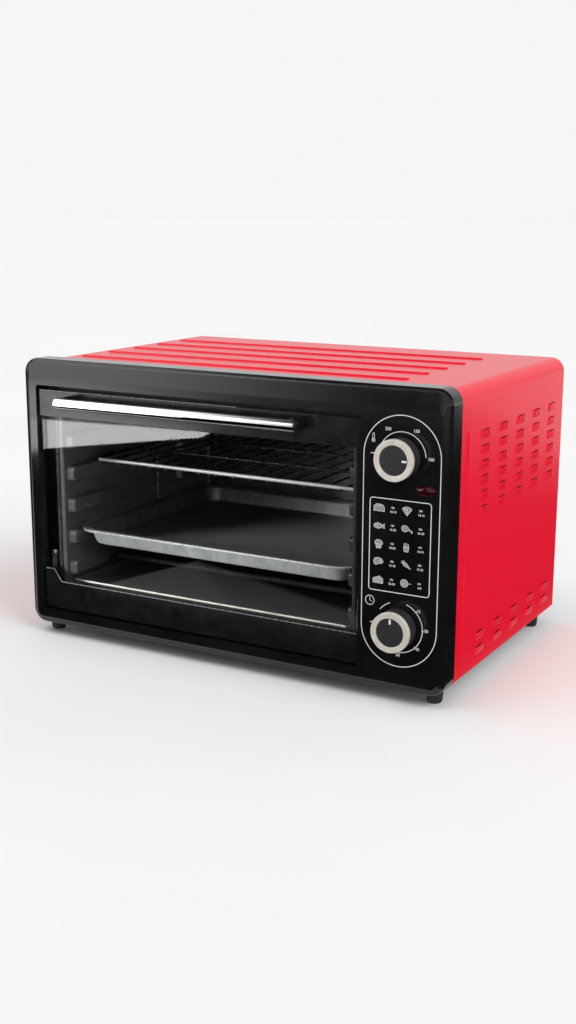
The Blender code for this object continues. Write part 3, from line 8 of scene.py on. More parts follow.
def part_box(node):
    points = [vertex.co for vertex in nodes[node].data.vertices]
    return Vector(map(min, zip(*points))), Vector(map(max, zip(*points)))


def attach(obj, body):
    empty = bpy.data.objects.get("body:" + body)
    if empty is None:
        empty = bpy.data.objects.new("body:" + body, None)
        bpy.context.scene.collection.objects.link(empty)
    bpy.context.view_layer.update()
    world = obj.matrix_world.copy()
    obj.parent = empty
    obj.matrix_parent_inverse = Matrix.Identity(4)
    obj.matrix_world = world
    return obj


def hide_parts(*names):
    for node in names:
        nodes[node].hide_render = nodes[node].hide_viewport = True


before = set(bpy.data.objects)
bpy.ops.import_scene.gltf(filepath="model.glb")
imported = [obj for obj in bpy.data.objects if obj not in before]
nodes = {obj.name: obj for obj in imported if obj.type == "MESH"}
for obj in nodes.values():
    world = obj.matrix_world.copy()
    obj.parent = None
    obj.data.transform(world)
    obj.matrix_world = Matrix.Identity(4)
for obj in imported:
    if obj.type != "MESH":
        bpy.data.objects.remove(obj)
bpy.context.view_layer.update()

# Lengths below are metres from the middle of the width (x), from the front face of the
# bezel towards the back (y), and from the lower edge of the bezel (z).
bezelLow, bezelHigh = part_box("front_bezel")
bezelSize = bezelHigh - bezelLow
bodyPlace = Vector((0, bezelLow.y, bezelLow.z))
mergeGap = 0.000001  # points nearer than this are one


def placed(node):
    # Middle and size of a node's box, in the places used below.
    low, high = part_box(node)
    return (low + high) / 2 - bodyPlace, high - low


# Mesh helpers

def linked(name, data):
    made = bpy.data.objects.new(name, data)
    bpy.context.collection.objects.link(made)
    return made


def meshPiece(name, shape):
    mesh = bpy.data.meshes.new(name)
    shape.to_mesh(mesh)
    shape.free()
    return linked(name, mesh)


def newPiece(name, shape, place=bodyPlace):
    bmesh.ops.recalc_face_normals(shape, faces=shape.faces)
    bmesh.ops.translate(shape, vec=place, verts=shape.verts)
    return meshPiece(name, shape)


def shownMesh(piece):
    # What the piece shows with its modifiers, as a plain mesh.
    bpy.context.view_layer.update()
    shown = piece.evaluated_get(bpy.context.evaluated_depsgraph_get())
    return bpy.data.meshes.new_from_object(shown)


def applied(piece):
    mesh = shownMesh(piece)
    piece.modifiers.clear()
    piece.data = mesh
    return piece


def joined(name, pieces):
    # Several pieces' meshes in one object, left as separate shells.
    shape = bmesh.new()
    for piece in pieces:
        shape.from_mesh(piece.data)
        bpy.data.objects.remove(piece)
    return meshPiece(name, shape)


def combined(piece, other, operation):
    step = piece.modifiers.new("shape", "BOOLEAN")
    step.operation = operation
    step.solver = "MANIFOLD"
    step.object = other
    applied(piece)
    bpy.data.objects.remove(other)
    return piece


def cutBy(piece, shape, place=bodyPlace):
    return combined(piece, newPiece("cutter", shape, place), "DIFFERENCE")


def addedTo(piece, shape, place=bodyPlace):
    return combined(piece, newPiece("addition", shape, place), "UNION")


def withEdges(piece, width, segments=2, angle=32):
    step = piece.modifiers.new("edges", "BEVEL")
    step.width = width
    step.segments = segments
    step.limit_method = "ANGLE"
    step.angle_limit = math.radians(angle)
    step.use_clamp_overlap = True
    return applied(piece)


def withSheet(piece, thickness):
    step = piece.modifiers.new("sheet", "SOLIDIFY")
    step.thickness = thickness
    step.offset = 0
    return applied(piece)


def dressed(piece, body, slotName, surface, *replaced, smooth=38, weighted=True):
    mesh = piece.data
    mesh.materials.clear()
    mesh.materials.append(surface)
    mesh.shade_smooth()
    mesh.set_sharp_from_angle(angle=math.radians(smooth))
    if weighted:
        step = piece.modifiers.new("normals", "WEIGHTED_NORMAL")
        step.keep_sharp = True
        step.weight = 90
        applied(piece)
    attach(piece, body)
    if replaced:
        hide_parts(*replaced)
    return piece


def angles(first, last, steps):
    # Even steps from the first degree to the last, in radians.
    return [math.radians(first + (last - first) * step / steps) for step in range(steps + 1)]


def oval(x, z, across, up, sides):
    return [(x + across * math.cos(math.tau * step / sides),
             z + up * math.sin(math.tau * step / sides)) for step in range(sides)]


def roundedRing(left, right, bottom, top, radius, steps=10):
    points = []
    for middleX, middleZ, first in (
        (right - radius, top - radius, 0), (left + radius, top - radius, 90),
        (left + radius, bottom + radius, 180), (right - radius, bottom + radius, 270),
    ):
        points += [(middleX + radius * math.cos(angle), middleZ + radius * math.sin(angle))
                   for angle in angles(first, first + 90, steps)]
    return points


def eased(points, amount, steps=3, closed=True, most=0.45):
    # Rounds each corner of an outline with a short curve, over at most a share of a side.
    count = len(points)
    result = []
    for index, corner in enumerate(points):
        corner = Vector(corner)
        if not closed and index in (0, count - 1):
            result.append(tuple(corner))
            continue
        before = Vector(points[index - 1])
        after = Vector(points[(index + 1) % count])
        start = corner + (before - corner) * min(most, amount / (before - corner).length)
        end = corner + (after - corner) * min(most, amount / (after - corner).length)
        for step in range(steps + 1):
            share = step / steps
            result.append(tuple(start * (1 - share) ** 2 + corner * 2 * share * (1 - share)
                                + end * share ** 2))
    return result


def lofted(shape, rings, closeStart=True, closeEnd=True):
    rows = [[shape.verts.new(point) for point in ring] for ring in rings]
    for lower, upper in zip(rows, rows[1:]):
        for index in range(len(lower)):
            after = (index + 1) % len(lower)
            shape.faces.new((lower[index], lower[after], upper[after], upper[index]))
    if closeStart:
        shape.faces.new(list(reversed(rows[0])))
    if closeEnd:
        shape.faces.new(rows[-1])
    return shape


def extruded(outline, place, first, last, shape=None):
    # A closed outline of (u, v) pairs, drawn out from first to last.
    rings = [[place(u, v, depth) for u, v in outline] for depth in (first, last)]
    return lofted(shape or bmesh.new(), rings)


def facingFront(u, v, depth):
    return (u, depth, v)


def facingSide(u, v, depth):
    return (depth, u, v)


def facingUp(u, v, depth):
    return (u, v, depth)


def slab(low, high, shape=None):
    outline = [(low[0], low[2]), (high[0], low[2]), (high[0], high[2]), (low[0], high[2])]
    return extruded(outline, facingFront, low[1], high[1], shape)


def turned(profile, place, direction, sides=72, closed=False, shape=None):
    # Profile pairs are (radius, distance along the direction).
    turn = Vector(direction).to_track_quat("Z", "Y").to_matrix()
    rings = [[Vector(place) + turn @ Vector((u, v, distance))
              for u, v in oval(0, 0, radius, radius, sides)] for radius, distance in profile]
    if closed:
        rings.append(rings[0])
    made = lofted(bmesh.new(), rings, closeStart=False, closeEnd=False)
    bmesh.ops.remove_doubles(made, verts=made.verts, dist=mergeGap)
    if not closed:
        bmesh.ops.holes_fill(made, edges=[edge for edge in made.edges if edge.is_boundary])
    if shape is None:
        return made
    spare = bpy.data.meshes.new("spare")
    made.to_mesh(spare)
    made.free()
    shape.from_mesh(spare)
    bpy.data.meshes.remove(spare)
    return shape


def rod(start, end, radius, sides=24, ends=0.3, shape=None):
    # Round bar with eased ends.
    start, end = Vector(start), Vector(end)
    length = (end - start).length
    chamferShare = 0.3
    cut = radius * ends
    soft = cut * chamferShare
    half = [(0, 0), (radius - cut, 0), (radius - soft, soft), (radius, cut)]
    profile = half + [(wide, length - along) for wide, along in reversed(half)]
    return turned(profile, start, end - start, sides, shape=shape)


def pipe(name, points, radius, closed=False, sides=16):
    line = bpy.data.curves.new(name, "CURVE")
    line.dimensions = "3D"
    line.bevel_depth = radius
    line.bevel_resolution = max(1, sides // 4 - 1)
    line.use_fill_caps = True
    spline = line.splines.new("POLY")
    spline.points.add(len(points) - 1)
    for point, spot in zip(spline.points, points):
        point.co = (*(Vector(spot) + bodyPlace), 1)
    spline.use_cyclic_u = closed
    holder = linked(name, line)
    mesh = shownMesh(holder)
    bpy.data.objects.remove(holder)
    shape = bmesh.new()
    shape.from_mesh(mesh)
    bmesh.ops.remove_doubles(shape, verts=shape.verts, dist=mergeGap)
    bmesh.ops.holes_fill(shape, edges=[edge for edge in shape.edges if edge.is_boundary])
    return newPiece(name, shape, Vector())


def copied(node, name):
    # The node's own solid with its triangles merged, ready for finer edges.
    flatAngle = math.radians(0.5)
    shape = bmesh.new()
    shape.from_mesh(nodes[node].data)
    bmesh.ops.remove_doubles(shape, verts=shape.verts, dist=2 * mergeGap)
    bmesh.ops.dissolve_limit(shape, angle_limit=flatAngle, verts=shape.verts,
                             edges=shape.edges)
    return newPiece(name, shape, Vector())


def wired(tree, *wires):
    # Each wire is a node, its output, the next node and that one's input.
    for source, output, target, entry in wires:
        tree.links.new(source.outputs[output], target.inputs[entry])


# Geometry Nodes: rows and columns of one shape

def rowsTree():
    tree = bpy.data.node_groups.new("rows of one shape", "GeometryNodeTree")
    for name, kind in (("Shape", "Geometry"), ("Start", "Vector"), ("Column Step", "Vector"),
                       ("Columns", "Int"), ("Row Step", "Vector"), ("Rows", "Int"),
                       ("Finish", "Material")):
        tree.interface.new_socket(name, in_out="INPUT", socket_type="NodeSocket" + kind)
    tree.interface.new_socket("Result", in_out="OUTPUT", socket_type="NodeSocketGeometry")
    add = tree.nodes.new
    given = add("NodeGroupInput")
    columns = add("GeometryNodeMeshLine")
    rows = add("GeometryNodeMeshLine")
    spots = add("GeometryNodeInstanceOnPoints")
    grid = add("GeometryNodeRealizeInstances")
    copies = add("GeometryNodeInstanceOnPoints")
    real = add("GeometryNodeRealizeInstances")
    coat = add("GeometryNodeSetMaterial")
    result = add("NodeGroupOutput")
    wired(tree, (given, "Start", columns, "Start Location"),
          (given, "Column Step", columns, "Offset"), (given, "Columns", columns, "Count"),
          (given, "Row Step", rows, "Offset"), (given, "Rows", rows, "Count"),
          (columns, "Mesh", spots, "Points"), (rows, "Mesh", spots, "Instance"),
          (spots, "Instances", grid, "Geometry"), (grid, "Geometry", copies, "Points"),
          (given, "Shape", copies, "Instance"), (copies, "Instances", real, "Geometry"),
          (real, "Geometry", coat, "Geometry"), (given, "Finish", coat, "Material"),
          (coat, "Geometry", result, "Result"))
    return tree


rowsOfShape = rowsTree()


def inRows(name, shape, surface, start, columnStep, columns, rowStep=(0, 0, 1), rows=1):
    # Repeats a shape made around the origin, at places of the body.
    piece = newPiece(name, shape, Vector())
    step = piece.modifiers.new("rows", "NODES")
    step.node_group = rowsOfShape
    named = {item.name: item.identifier for item in rowsOfShape.interface.items_tree
             if item.in_out == "INPUT"}
    step[named["Start"]] = Vector(start) + bodyPlace
    step[named["Column Step"]] = columnStep
    step[named["Columns"]] = columns
    step[named["Row Step"]] = rowStep
    step[named["Rows"]] = rows
    step[named["Finish"]] = surface
    return applied(piece)


# Finishes: every one is driven by noise on Object coordinates

grain = {"colour": (0.35, 0.65), "rough": (0.3, 0.7), "detail": 4.0}
glass = {
    "tint": (0.93, 0.94, 0.935), "straight": 0.043, "steepness": 5.0, "hazeScale": 14.0,
    "rough": (0.01, 0.05),
}


def setRange(spread, to, start=None):
    for name, pair in (("From ", start), ("To ", to)):
        if pair:
            spread.inputs[name + "Min"].default_value = pair[0]
            spread.inputs[name + "Max"].default_value = pair[1]


def finish(name, pair, rough, scale=60.0, bump=0.0, depth=0.0002, metallic=0.0,
           stretch=(1, 1, 1), spangle=False, **sockets):
    made = bpy.data.materials.new(name)
    made.use_nodes = True
    tree = made.node_tree
    add = tree.nodes.new
    shader = tree.nodes["Principled BSDF"]
    shader.inputs["Metallic"].default_value = metallic
    for key, value in sockets.items():
        shader.inputs[key.replace("_", " ")].default_value = value
    spots = add("ShaderNodeTexCoord")
    scaled = add("ShaderNodeMapping")
    scaled.inputs["Scale"].default_value = stretch
    pattern = add("ShaderNodeTexVoronoi" if spangle else "ShaderNodeTexNoise")
    pattern.inputs["Scale"].default_value = scale
    if not spangle:
        pattern.inputs["Detail"].default_value = grain["detail"]
    value = "Color" if spangle else "Fac"
    ramp = add("ShaderNodeValToRGB")
    for stop, place, colour in zip(ramp.color_ramp.elements, grain["colour"], pair):
        stop.position = place
        stop.color = (*colour, 1)
    spread = add("ShaderNodeMapRange")
    setRange(spread, rough, grain["rough"])
    wired(tree, (spots, "Object", scaled, "Vector"), (scaled, "Vector", pattern, "Vector"),
          (pattern, value, ramp, "Fac"), (ramp, "Color", shader, "Base Color"),
          (pattern, value, spread, "Value"), (spread, "Result", shader, "Roughness"))
    if bump:
        relief = add("ShaderNodeBump")
        relief.inputs["Strength"].default_value = bump
        relief.inputs["Distance"].default_value = depth
        wired(tree, (pattern, value, relief, "Height"), (relief, "Normal", shader, "Normal"))
    return made


def glassFinish(name):
    # Clear pane that lets lamp light through and mirrors by its angle.
    made = bpy.data.materials.new(name)
    made.use_nodes = True
    tree = made.node_tree
    tree.nodes.clear()
    add = tree.nodes.new
    out = add("ShaderNodeOutputMaterial")
    mix = add("ShaderNodeMixShader")
    through = add("ShaderNodeBsdfTransparent")
    through.inputs["Color"].default_value = (*glass["tint"], 1)
    mirror = add("ShaderNodeBsdfGlossy")
    mirror.inputs["Color"].default_value = (1, 1, 1, 1)
    # Schlick's rule, the same from both sides of the pane
    angle = add("ShaderNodeLayerWeight")
    angle.inputs["Blend"].default_value = 0.5  # Facing is then one less the cosine
    steep = add("ShaderNodeMath")
    steep.operation = "POWER"
    steep.inputs[1].default_value = glass["steepness"]
    share = add("ShaderNodeMath")
    share.operation = "MULTIPLY_ADD"
    share.inputs[1].default_value = 1 - glass["straight"]
    share.inputs[2].default_value = glass["straight"]
    spots = add("ShaderNodeTexCoord")
    haze = add("ShaderNodeTexNoise")
    haze.inputs["Scale"].default_value = glass["hazeScale"]
    spread = add("ShaderNodeMapRange")
    setRange(spread, glass["rough"])
    wired(tree, (spots, "Object", haze, "Vector"), (haze, "Fac", spread, "Value"),
          (spread, "Result", mirror, "Roughness"), (angle, "Facing", steep, 0),
          (steep, "Value", share, 0), (share, "Value", mix, "Fac"),
          (through, "BSDF", mix, 1), (mirror, "BSDF", mix, 2),
          (mix, "Shader", out, "Surface"))
    return made


glossBlack = finish("gloss black plastic", ((0.0045, 0.0046, 0.005), (0.007, 0.0072, 0.0078)),
                    (0.13, 0.2), scale=22, bump=0.03, depth=0.0003,
                    Specular_IOR_Level=0.5)
knobBlack = finish("satin black plastic", ((0.02, 0.02, 0.022), (0.03, 0.03, 0.033)),
                   (0.34, 0.46), scale=900, bump=0.12, depth=0.00008)
stripBlack = finish("enamelled black steel", ((0.006, 0.0062, 0.0068), (0.010, 0.0102, 0.011)),
                    (0.16, 0.24), scale=70, bump=0.04, depth=0.0002)
redPaint = finish("red enamel", ((0.78, 0.0012, 0.022), (0.84, 0.0020, 0.028)),
                  (0.30, 0.38), scale=420, bump=0.08, depth=0.00010,
                  Specular_IOR_Level=0.22, Coat_Weight=0.2, Coat_Roughness=0.14)
galvanised = finish("galvanised sheet", ((0.46, 0.48, 0.50), (0.62, 0.64, 0.66)),
                    (0.30, 0.46), scale=90, metallic=1.0, spangle=True, bump=0.05,
                    depth=0.0001)
cavityMetal = finish("cavity sheet", ((0.13, 0.13, 0.135), (0.17, 0.17, 0.175)),
                     (0.30, 0.42), scale=35, metallic=0.35, bump=0.03, depth=0.0001,
                     stretch=(1, 1, 4))
# Painted shade: a darker copy of the cavity sheet for the right wall, roof, floor, back and
# corner seams
cavityShadeSheet = finish("cavity sheet with painted shade", ((0.080, 0.080, 0.082), (0.105, 0.105, 0.108)),
                     (0.30, 0.42), scale=35, metallic=0.4, bump=0.03, depth=0.0001,
                     stretch=(4, 4, 1))
beadMetal = finish("flange bead sheet", ((0.075, 0.075, 0.078), (0.105, 0.105, 0.108)),
                   (0.22, 0.32), scale=60, metallic=0.5, bump=0.03, depth=0.0001)
# Painted shade: the flange sheet, one with the cavity wall, made near-black
flangeShadeSheet = finish("flange sheet with painted shade", ((0.0035, 0.0036, 0.0038), (0.006, 0.006, 0.0063)),
                     (0.30, 0.40), scale=80, bump=0.04, depth=0.0001,
                     Specular_IOR_Level=0.35)
trayMetal = finish("tray sheet", ((0.26, 0.26, 0.27), (0.34, 0.34, 0.35)),
                   (0.30, 0.44), scale=160, metallic=0.75, bump=0.06, depth=0.0001,
                   stretch=(1, 1, 0.15))
chromeWire = finish("bright chrome", ((0.82, 0.82, 0.83), (0.88, 0.88, 0.89)),
                    (0.05, 0.12), scale=200, metallic=1.0)
# Painted shade: the rack's chrome made dark, leaving only the front wire bright
rackShadeWire = finish("chrome wire with painted shade", ((0.10, 0.10, 0.105), (0.15, 0.15, 0.155)),
                  (0.22, 0.34), scale=200, metallic=1.0)
# Nickel plating on rivets and seam dashes; on the rack's front wire the same colour is a
# painted highlight
nickelAndHighlightWire = finish("nickel plated wire and painted highlight", ((0.60, 0.60, 0.61), (0.70, 0.70, 0.71)),
                    (0.16, 0.26), scale=200, metallic=0.55)
# Painted highlight: the tray's rolled rim coloured brighter than the tray sheet
rimHighlight = finish("tray rim with painted highlight", ((0.60, 0.60, 0.605), (0.72, 0.72, 0.725)),
                  (0.24, 0.36), scale=300, metallic=0.5)
# Painted highlight: the crumb tray's rolled front edge coloured brighter than its sheet
crumbLipHighlight = finish("crumb lip with painted highlight", ((0.40, 0.36, 0.33), (0.50, 0.46, 0.42)),
                    (0.30, 0.44), scale=110, metallic=0.45, bump=0.05, depth=0.0001,
                    stretch=(1, 1, 0.2))
# Painted highlight: hems of the black strips coloured bright
hemHighlight = finish("strip hem with painted highlight", ((0.13, 0.13, 0.133), (0.18, 0.18, 0.183)),
                  (0.22, 0.34), scale=240, metallic=0.6)
silverSatin = finish("satin silver plating", ((0.80, 0.74, 0.66), (0.88, 0.83, 0.75)),
                     (0.30, 0.42), scale=260, metallic=0.35, bump=0.05, depth=0.00005)
rodMetal = finish("heating rod sheath", ((0.050, 0.048, 0.046), (0.085, 0.082, 0.078)),
                  (0.42, 0.56), scale=160, metallic=0.6, bump=0.08, depth=0.00008)
rubber = finish("black rubber", ((0.012, 0.012, 0.012), (0.022, 0.022, 0.022)),
                (0.62, 0.80), scale=700, bump=0.2, depth=0.0001)
ceramic = finish("cream ceramic", ((0.72, 0.68, 0.58), (0.80, 0.76, 0.66)),
                 (0.42, 0.58), scale=300, bump=0.15, depth=0.0001)
brassSheet = finish("brass sheet", ((0.66, 0.44, 0.16), (0.76, 0.54, 0.22)),
                    (0.24, 0.38), scale=140, metallic=1.0, bump=0.04, depth=0.0001)
steelBright = finish("zinc plated steel", ((0.55, 0.56, 0.57), (0.68, 0.69, 0.70)),
                     (0.22, 0.36), scale=220, metallic=1.0, bump=0.05, depth=0.00006)
redLens = finish("red lens", ((0.024, 0.0006, 0.0008), (0.036, 0.0010, 0.0012)),
                 (0.06, 0.14), scale=500, bump=0.05, depth=0.00008,
                 Coat_Weight=0.2, Coat_Roughness=0.05)
printWhite = finish("white print ink", ((0.78, 0.79, 0.80), (0.88, 0.89, 0.90)),
                    (0.45, 0.6), scale=900)
printTone = finish("white print halftone", ((0.24, 0.244, 0.248), (0.31, 0.314, 0.318)),
                   (0.45, 0.6), scale=900)
clearGlass = glassFinish("clear toughened glass")
print("finishes ready")


# Front bezel with the door opening

temperatureMiddle, ringSize = placed("temperature_knob_ring")
timerMiddle = placed("timer_knob_ring")[0]
gripSize = placed("temperature_knob")[1]
lensMiddle, lensSize = placed("power_lamp_lens")
bezel = {
    "half": bezelSize.x / 2, "height": bezelSize.z, "depth": bezelSize.y,
    "corner": 0.016, "edge": 0.005,
    "wall": 0.0045, "skirt": 0.003, "crownDrop": 0.0015, "topBand": 0.020,
    "sideBand": 0.008, "crownCorner": 0.006,
    "crownShares": ((0.94, 0.95), (1.0, 0.99), (1.06, 1.0)),
    "openLeft": -0.2325, "openRight": 0.1585, "openLow": 0.0175, "openHigh": 0.269,
    "openCorner": 0.0035, "surround": 0.003, "surroundDepth": 0.020, "overlap": 0.001,
    "shaftHole": 0.0045, "stemGap": 0.0003, "holeDepth": 0.012, "fineEdge": 0.0006,
    "pinY": 0.0065, "pinZ": 0.026, "pinHole": 0.0023, "pinReach": 0.007,
    "cutFront": -0.01, "cutBack": 0.04,
}
knob = {
    "x": temperatureMiddle.x, "temperatureZ": temperatureMiddle.z, "timerZ": timerMiddle.z,
    "reach": 0.021, "stand": 0.001, "radius": gripSize.x / 2, "taper": 0.0006,
    "taperEnd": 0.003, "faceDrop": 0.0012, "rounding": 0.0007, "sides": 112, "gap": 0.0003,
    "ringDepth": ringSize.y, "ringOuter": ringSize.x / 2, "ringInner": 0.0143,
    "ringRounding": 0.0006,
    "ringDish": 0.0003, "ringLean": 0.0001,
    "pointerLength": 0.005, "pointerWidth": 0.002, "pointerRise": 0.0004,
    "pointerSunk": 0.0004, "pointerInset": 0.0006, "pointerEdge": 0.00015,
}
lamp = {
    "x": lensMiddle.x, "z": lensMiddle.z, "width": lensSize.x, "height": lensSize.z,
    "dome": 0.0027, "flange": 0.001, "sides": 56,
    "lipShares": ((1.0, 0.3), (1.0, 0.9), (0.975, 1.2), (0.93, 1.4)),
    "stemWidth": 0.016, "stemHeight": 0.008,
}


def openingRing(grow):
    return roundedRing(bezel["openLeft"] - grow, bezel["openRight"] + grow,
                       bezel["openLow"] - grow, bezel["openHigh"] + grow,
                       bezel["openCorner"] + grow)


def makeBezel():
    def ring(side, top, radius, y):
        half = bezel["half"] - side
        return [(x, y, z) for x, z in roundedRing(-half, half, side, bezel["height"] - top,
                                                  radius, 12)]

    edge, corner = bezel["edge"], bezel["corner"]
    rings = [ring(0, 0, corner, bezel["depth"])]
    for angle in angles(0, 90, 8):
        inset = edge * (1 - math.cos(angle))
        rings.append(ring(inset, inset, corner - inset,
                          bezel["crownDrop"] + edge * (1 - math.sin(angle))))
    for share, rise in bezel["crownShares"]:
        rings.append(ring(edge + (bezel["sideBand"] - edge) * share,
                          edge + (bezel["topBand"] - edge) * share,
                          corner - edge + (bezel["crownCorner"] - corner + edge) * share,
                          bezel["crownDrop"] * (1 - rise)))
    front = newPiece("frontBezel", lofted(bmesh.new(), rings))

    before, behind, skirt = bezel["cutFront"], bezel["cutBack"], bezel["skirt"]
    half = bezel["half"] - skirt
    cutBy(front, extruded(roundedRing(-half, half, skirt, bezel["height"] - skirt,
                                      corner - skirt), facingFront, bezel["wall"], behind))
    addedTo(front, extruded(openingRing(bezel["surround"]), facingFront,
                            bezel["wall"] - bezel["overlap"], bezel["surroundDepth"]))
    cutBy(front, extruded(openingRing(0), facingFront, before, behind))
    # holes for the two shafts, the lamp's stem and the hinge pins
    holes = bmesh.new()
    for z in (knob["temperatureZ"], knob["timerZ"]):
        rod((knob["x"], before, z), (knob["x"], bezel["holeDepth"], z), bezel["shaftHole"],
            shape=holes)
    extruded(oval(lamp["x"], lamp["z"], lamp["stemWidth"] / 2 + bezel["stemGap"],
                  lamp["stemHeight"] / 2 + bezel["stemGap"], 40),
             facingFront, before, bezel["holeDepth"], holes)
    for x in (bezel["openLeft"], bezel["openRight"]):
        rod((x - bezel["pinReach"], bezel["pinY"], bezel["pinZ"]),
            (x + bezel["pinReach"], bezel["pinY"], bezel["pinZ"]), bezel["pinHole"],
            shape=holes)
    cutBy(front, holes)
    withEdges(front, bezel["fineEdge"], 2, 50)
    dressed(front, "oven_body", "black_gloss_plastic", glossBlack, "front_bezel")


makeBezel()
print("bezel ready")


# White print on the control side

panelPrint = {
    "proud": 0.00008, "sunk": 0.0001, "outline": 0.0008, "thin": 0.00045, "mitre": 0.5,
    "boldShare": 0.012,
    "left": 0.1626, "right": 0.2415, "low": 0.026, "high": 0.2704, "radius": 0.0394,
    "frame": (0.170, 0.233, 0.0994, 0.190, 0.003),  # left, right, low, high, corner
    "temperatureArc": 0.0240, "temperatureTurn": (-62, 86), "timerArc": 0.0250,
    "timerTurns": ((18, 180, 40), (-52, -22, 10)),  # first, last degree, steps
    "timerMarks": (45, 90, 135),
    "markInside": 0.0012, "markOutside": 0.0016, "markShare": 1.6,
    "stops": (((0.1698, 0.2325), (0.1740, 0.2325)), ((0.1722, 0.0664), (0.1766, 0.0680))),
    "stem": (0.1715, 0.1733, 0.2455, 0.2515, 0.0009),  # left, right, low, high, corner
    "bulb": (0.1724, 0.2448, 0.0014), "clock": (0.1714, 0.0884, 0.0046),  # x, z, radius
    "clockShare": 1.4, "handShare": 1.2,
    "hands": ((0.1714, 0.0914), (0.1714, 0.0884), (0.1736, 0.0872)),
    "numberSize": 0.0042,
    "numbers": (("200", 0.1874, 0.2566), ("150", 0.2160, 0.2566), ("100", 0.2312, 0.2314),
                ("15", 0.2226, 0.0844), ("30", 0.2310, 0.0660), ("45", 0.2224, 0.0466),
                ("60", 0.2022, 0.0376)),
    "iconColumns": (0.1796, 0.2084), "iconRows": (0.1804, 0.163, 0.1454, 0.128, 0.110),
    "iconWidth": 0.0060,
    "heat": (0.0140, 0.0014, 0.0025), "minutes": (0.0146, -0.0026, 0.0029),  # x, z, size
    "labels": ((("180", "10-12"), ("200", "12-15")), (("180", "15-20"), ("200", "25-30")),
               (("160", "20-25"), ("190", "10-15")), (("190", "12-18"), ("180", "15-25")),
               (("170", "25-30"), ("150", "6-8"))),
}


def ribbon(shape, points, width, closed=False):
    # A flat line of even width on the front face.
    count = len(points)
    near, far = -panelPrint["proud"], panelPrint["sunk"]
    rows = []
    for index, point in enumerate(points):
        point = Vector(point)
        before = Vector(points[index - 1]) if index or closed else None
        after = Vector(points[(index + 1) % count]) if index < count - 1 or closed else None
        first = (point - before).normalized() if before is not None else None
        second = (after - point).normalized() if after is not None else None
        along = ((first or second) + (second or first)).normalized()
        across = Vector((-along.y, along.x))
        bend = abs(along.dot(second or first))
        offset = across * width / 2 / max(panelPrint["mitre"], bend)
        rows.append([shape.verts.new((spot.x, y, spot.y)) for spot, y in (
            (point + offset, near), (point - offset, near),
            (point - offset, far), (point + offset, far))])
    pairs = list(zip(rows, rows[1:])) + ([(rows[-1], rows[0])] if closed else [])
    for one, other in pairs:
        for side in range(4):
            after = (side + 1) % 4
            shape.faces.new((one[side], one[after], other[after], other[side]))
    if not closed:
        shape.faces.new(list(reversed(rows[0])))
        shape.faces.new(rows[-1])


def patch(shape, points):
    # A filled shape on the front face, half as proud as the lines.
    if (Vector(points[0]) - Vector(points[-1])).length < mergeGap:
        points = points[:-1]
    front, rear = [[shape.verts.new((x, y, z)) for x, z in points]
                   for y in (-panelPrint["proud"] / 2, panelPrint["sunk"])]
    shape.faces.new(front)
    shape.faces.new(list(reversed(rear)))
    for index in range(len(points)):
        shape.faces.new((front[index - 1], front[index], rear[index], rear[index - 1]))


def arc(middleX, middleZ, across, up, first, last, steps=24):
    # Degrees clockwise from twelve o'clock.
    return [(middleX + across * math.sin(angle), middleZ + up * math.cos(angle))
            for angle in angles(first, last, steps)]


def circle(middleX, middleZ, radius, steps):
    return arc(middleX, middleZ, radius, radius, 0, 360, steps)


def printedText(text, x, z, size):
    name = "number" + text
    letters = bpy.data.curves.new(name, "FONT")
    letters.body = text
    letters.size = size
    letters.align_x = "CENTER"
    letters.align_y = "CENTER"
    letters.extrude = panelPrint["proud"]
    letters.offset = size * panelPrint["boldShare"]
    holder = linked(name, letters)
    mesh = shownMesh(holder)
    bpy.data.objects.remove(holder)
    mesh.transform(Matrix.Translation(bodyPlace + Vector((x, 0, z)))
                   @ Matrix.Rotation(math.radians(90), 4, "X"))
    return linked(name, mesh)


# A stroke is its points and whether it closes.
def opened(*points):
    return points, False


def shut(*points):
    return points, True


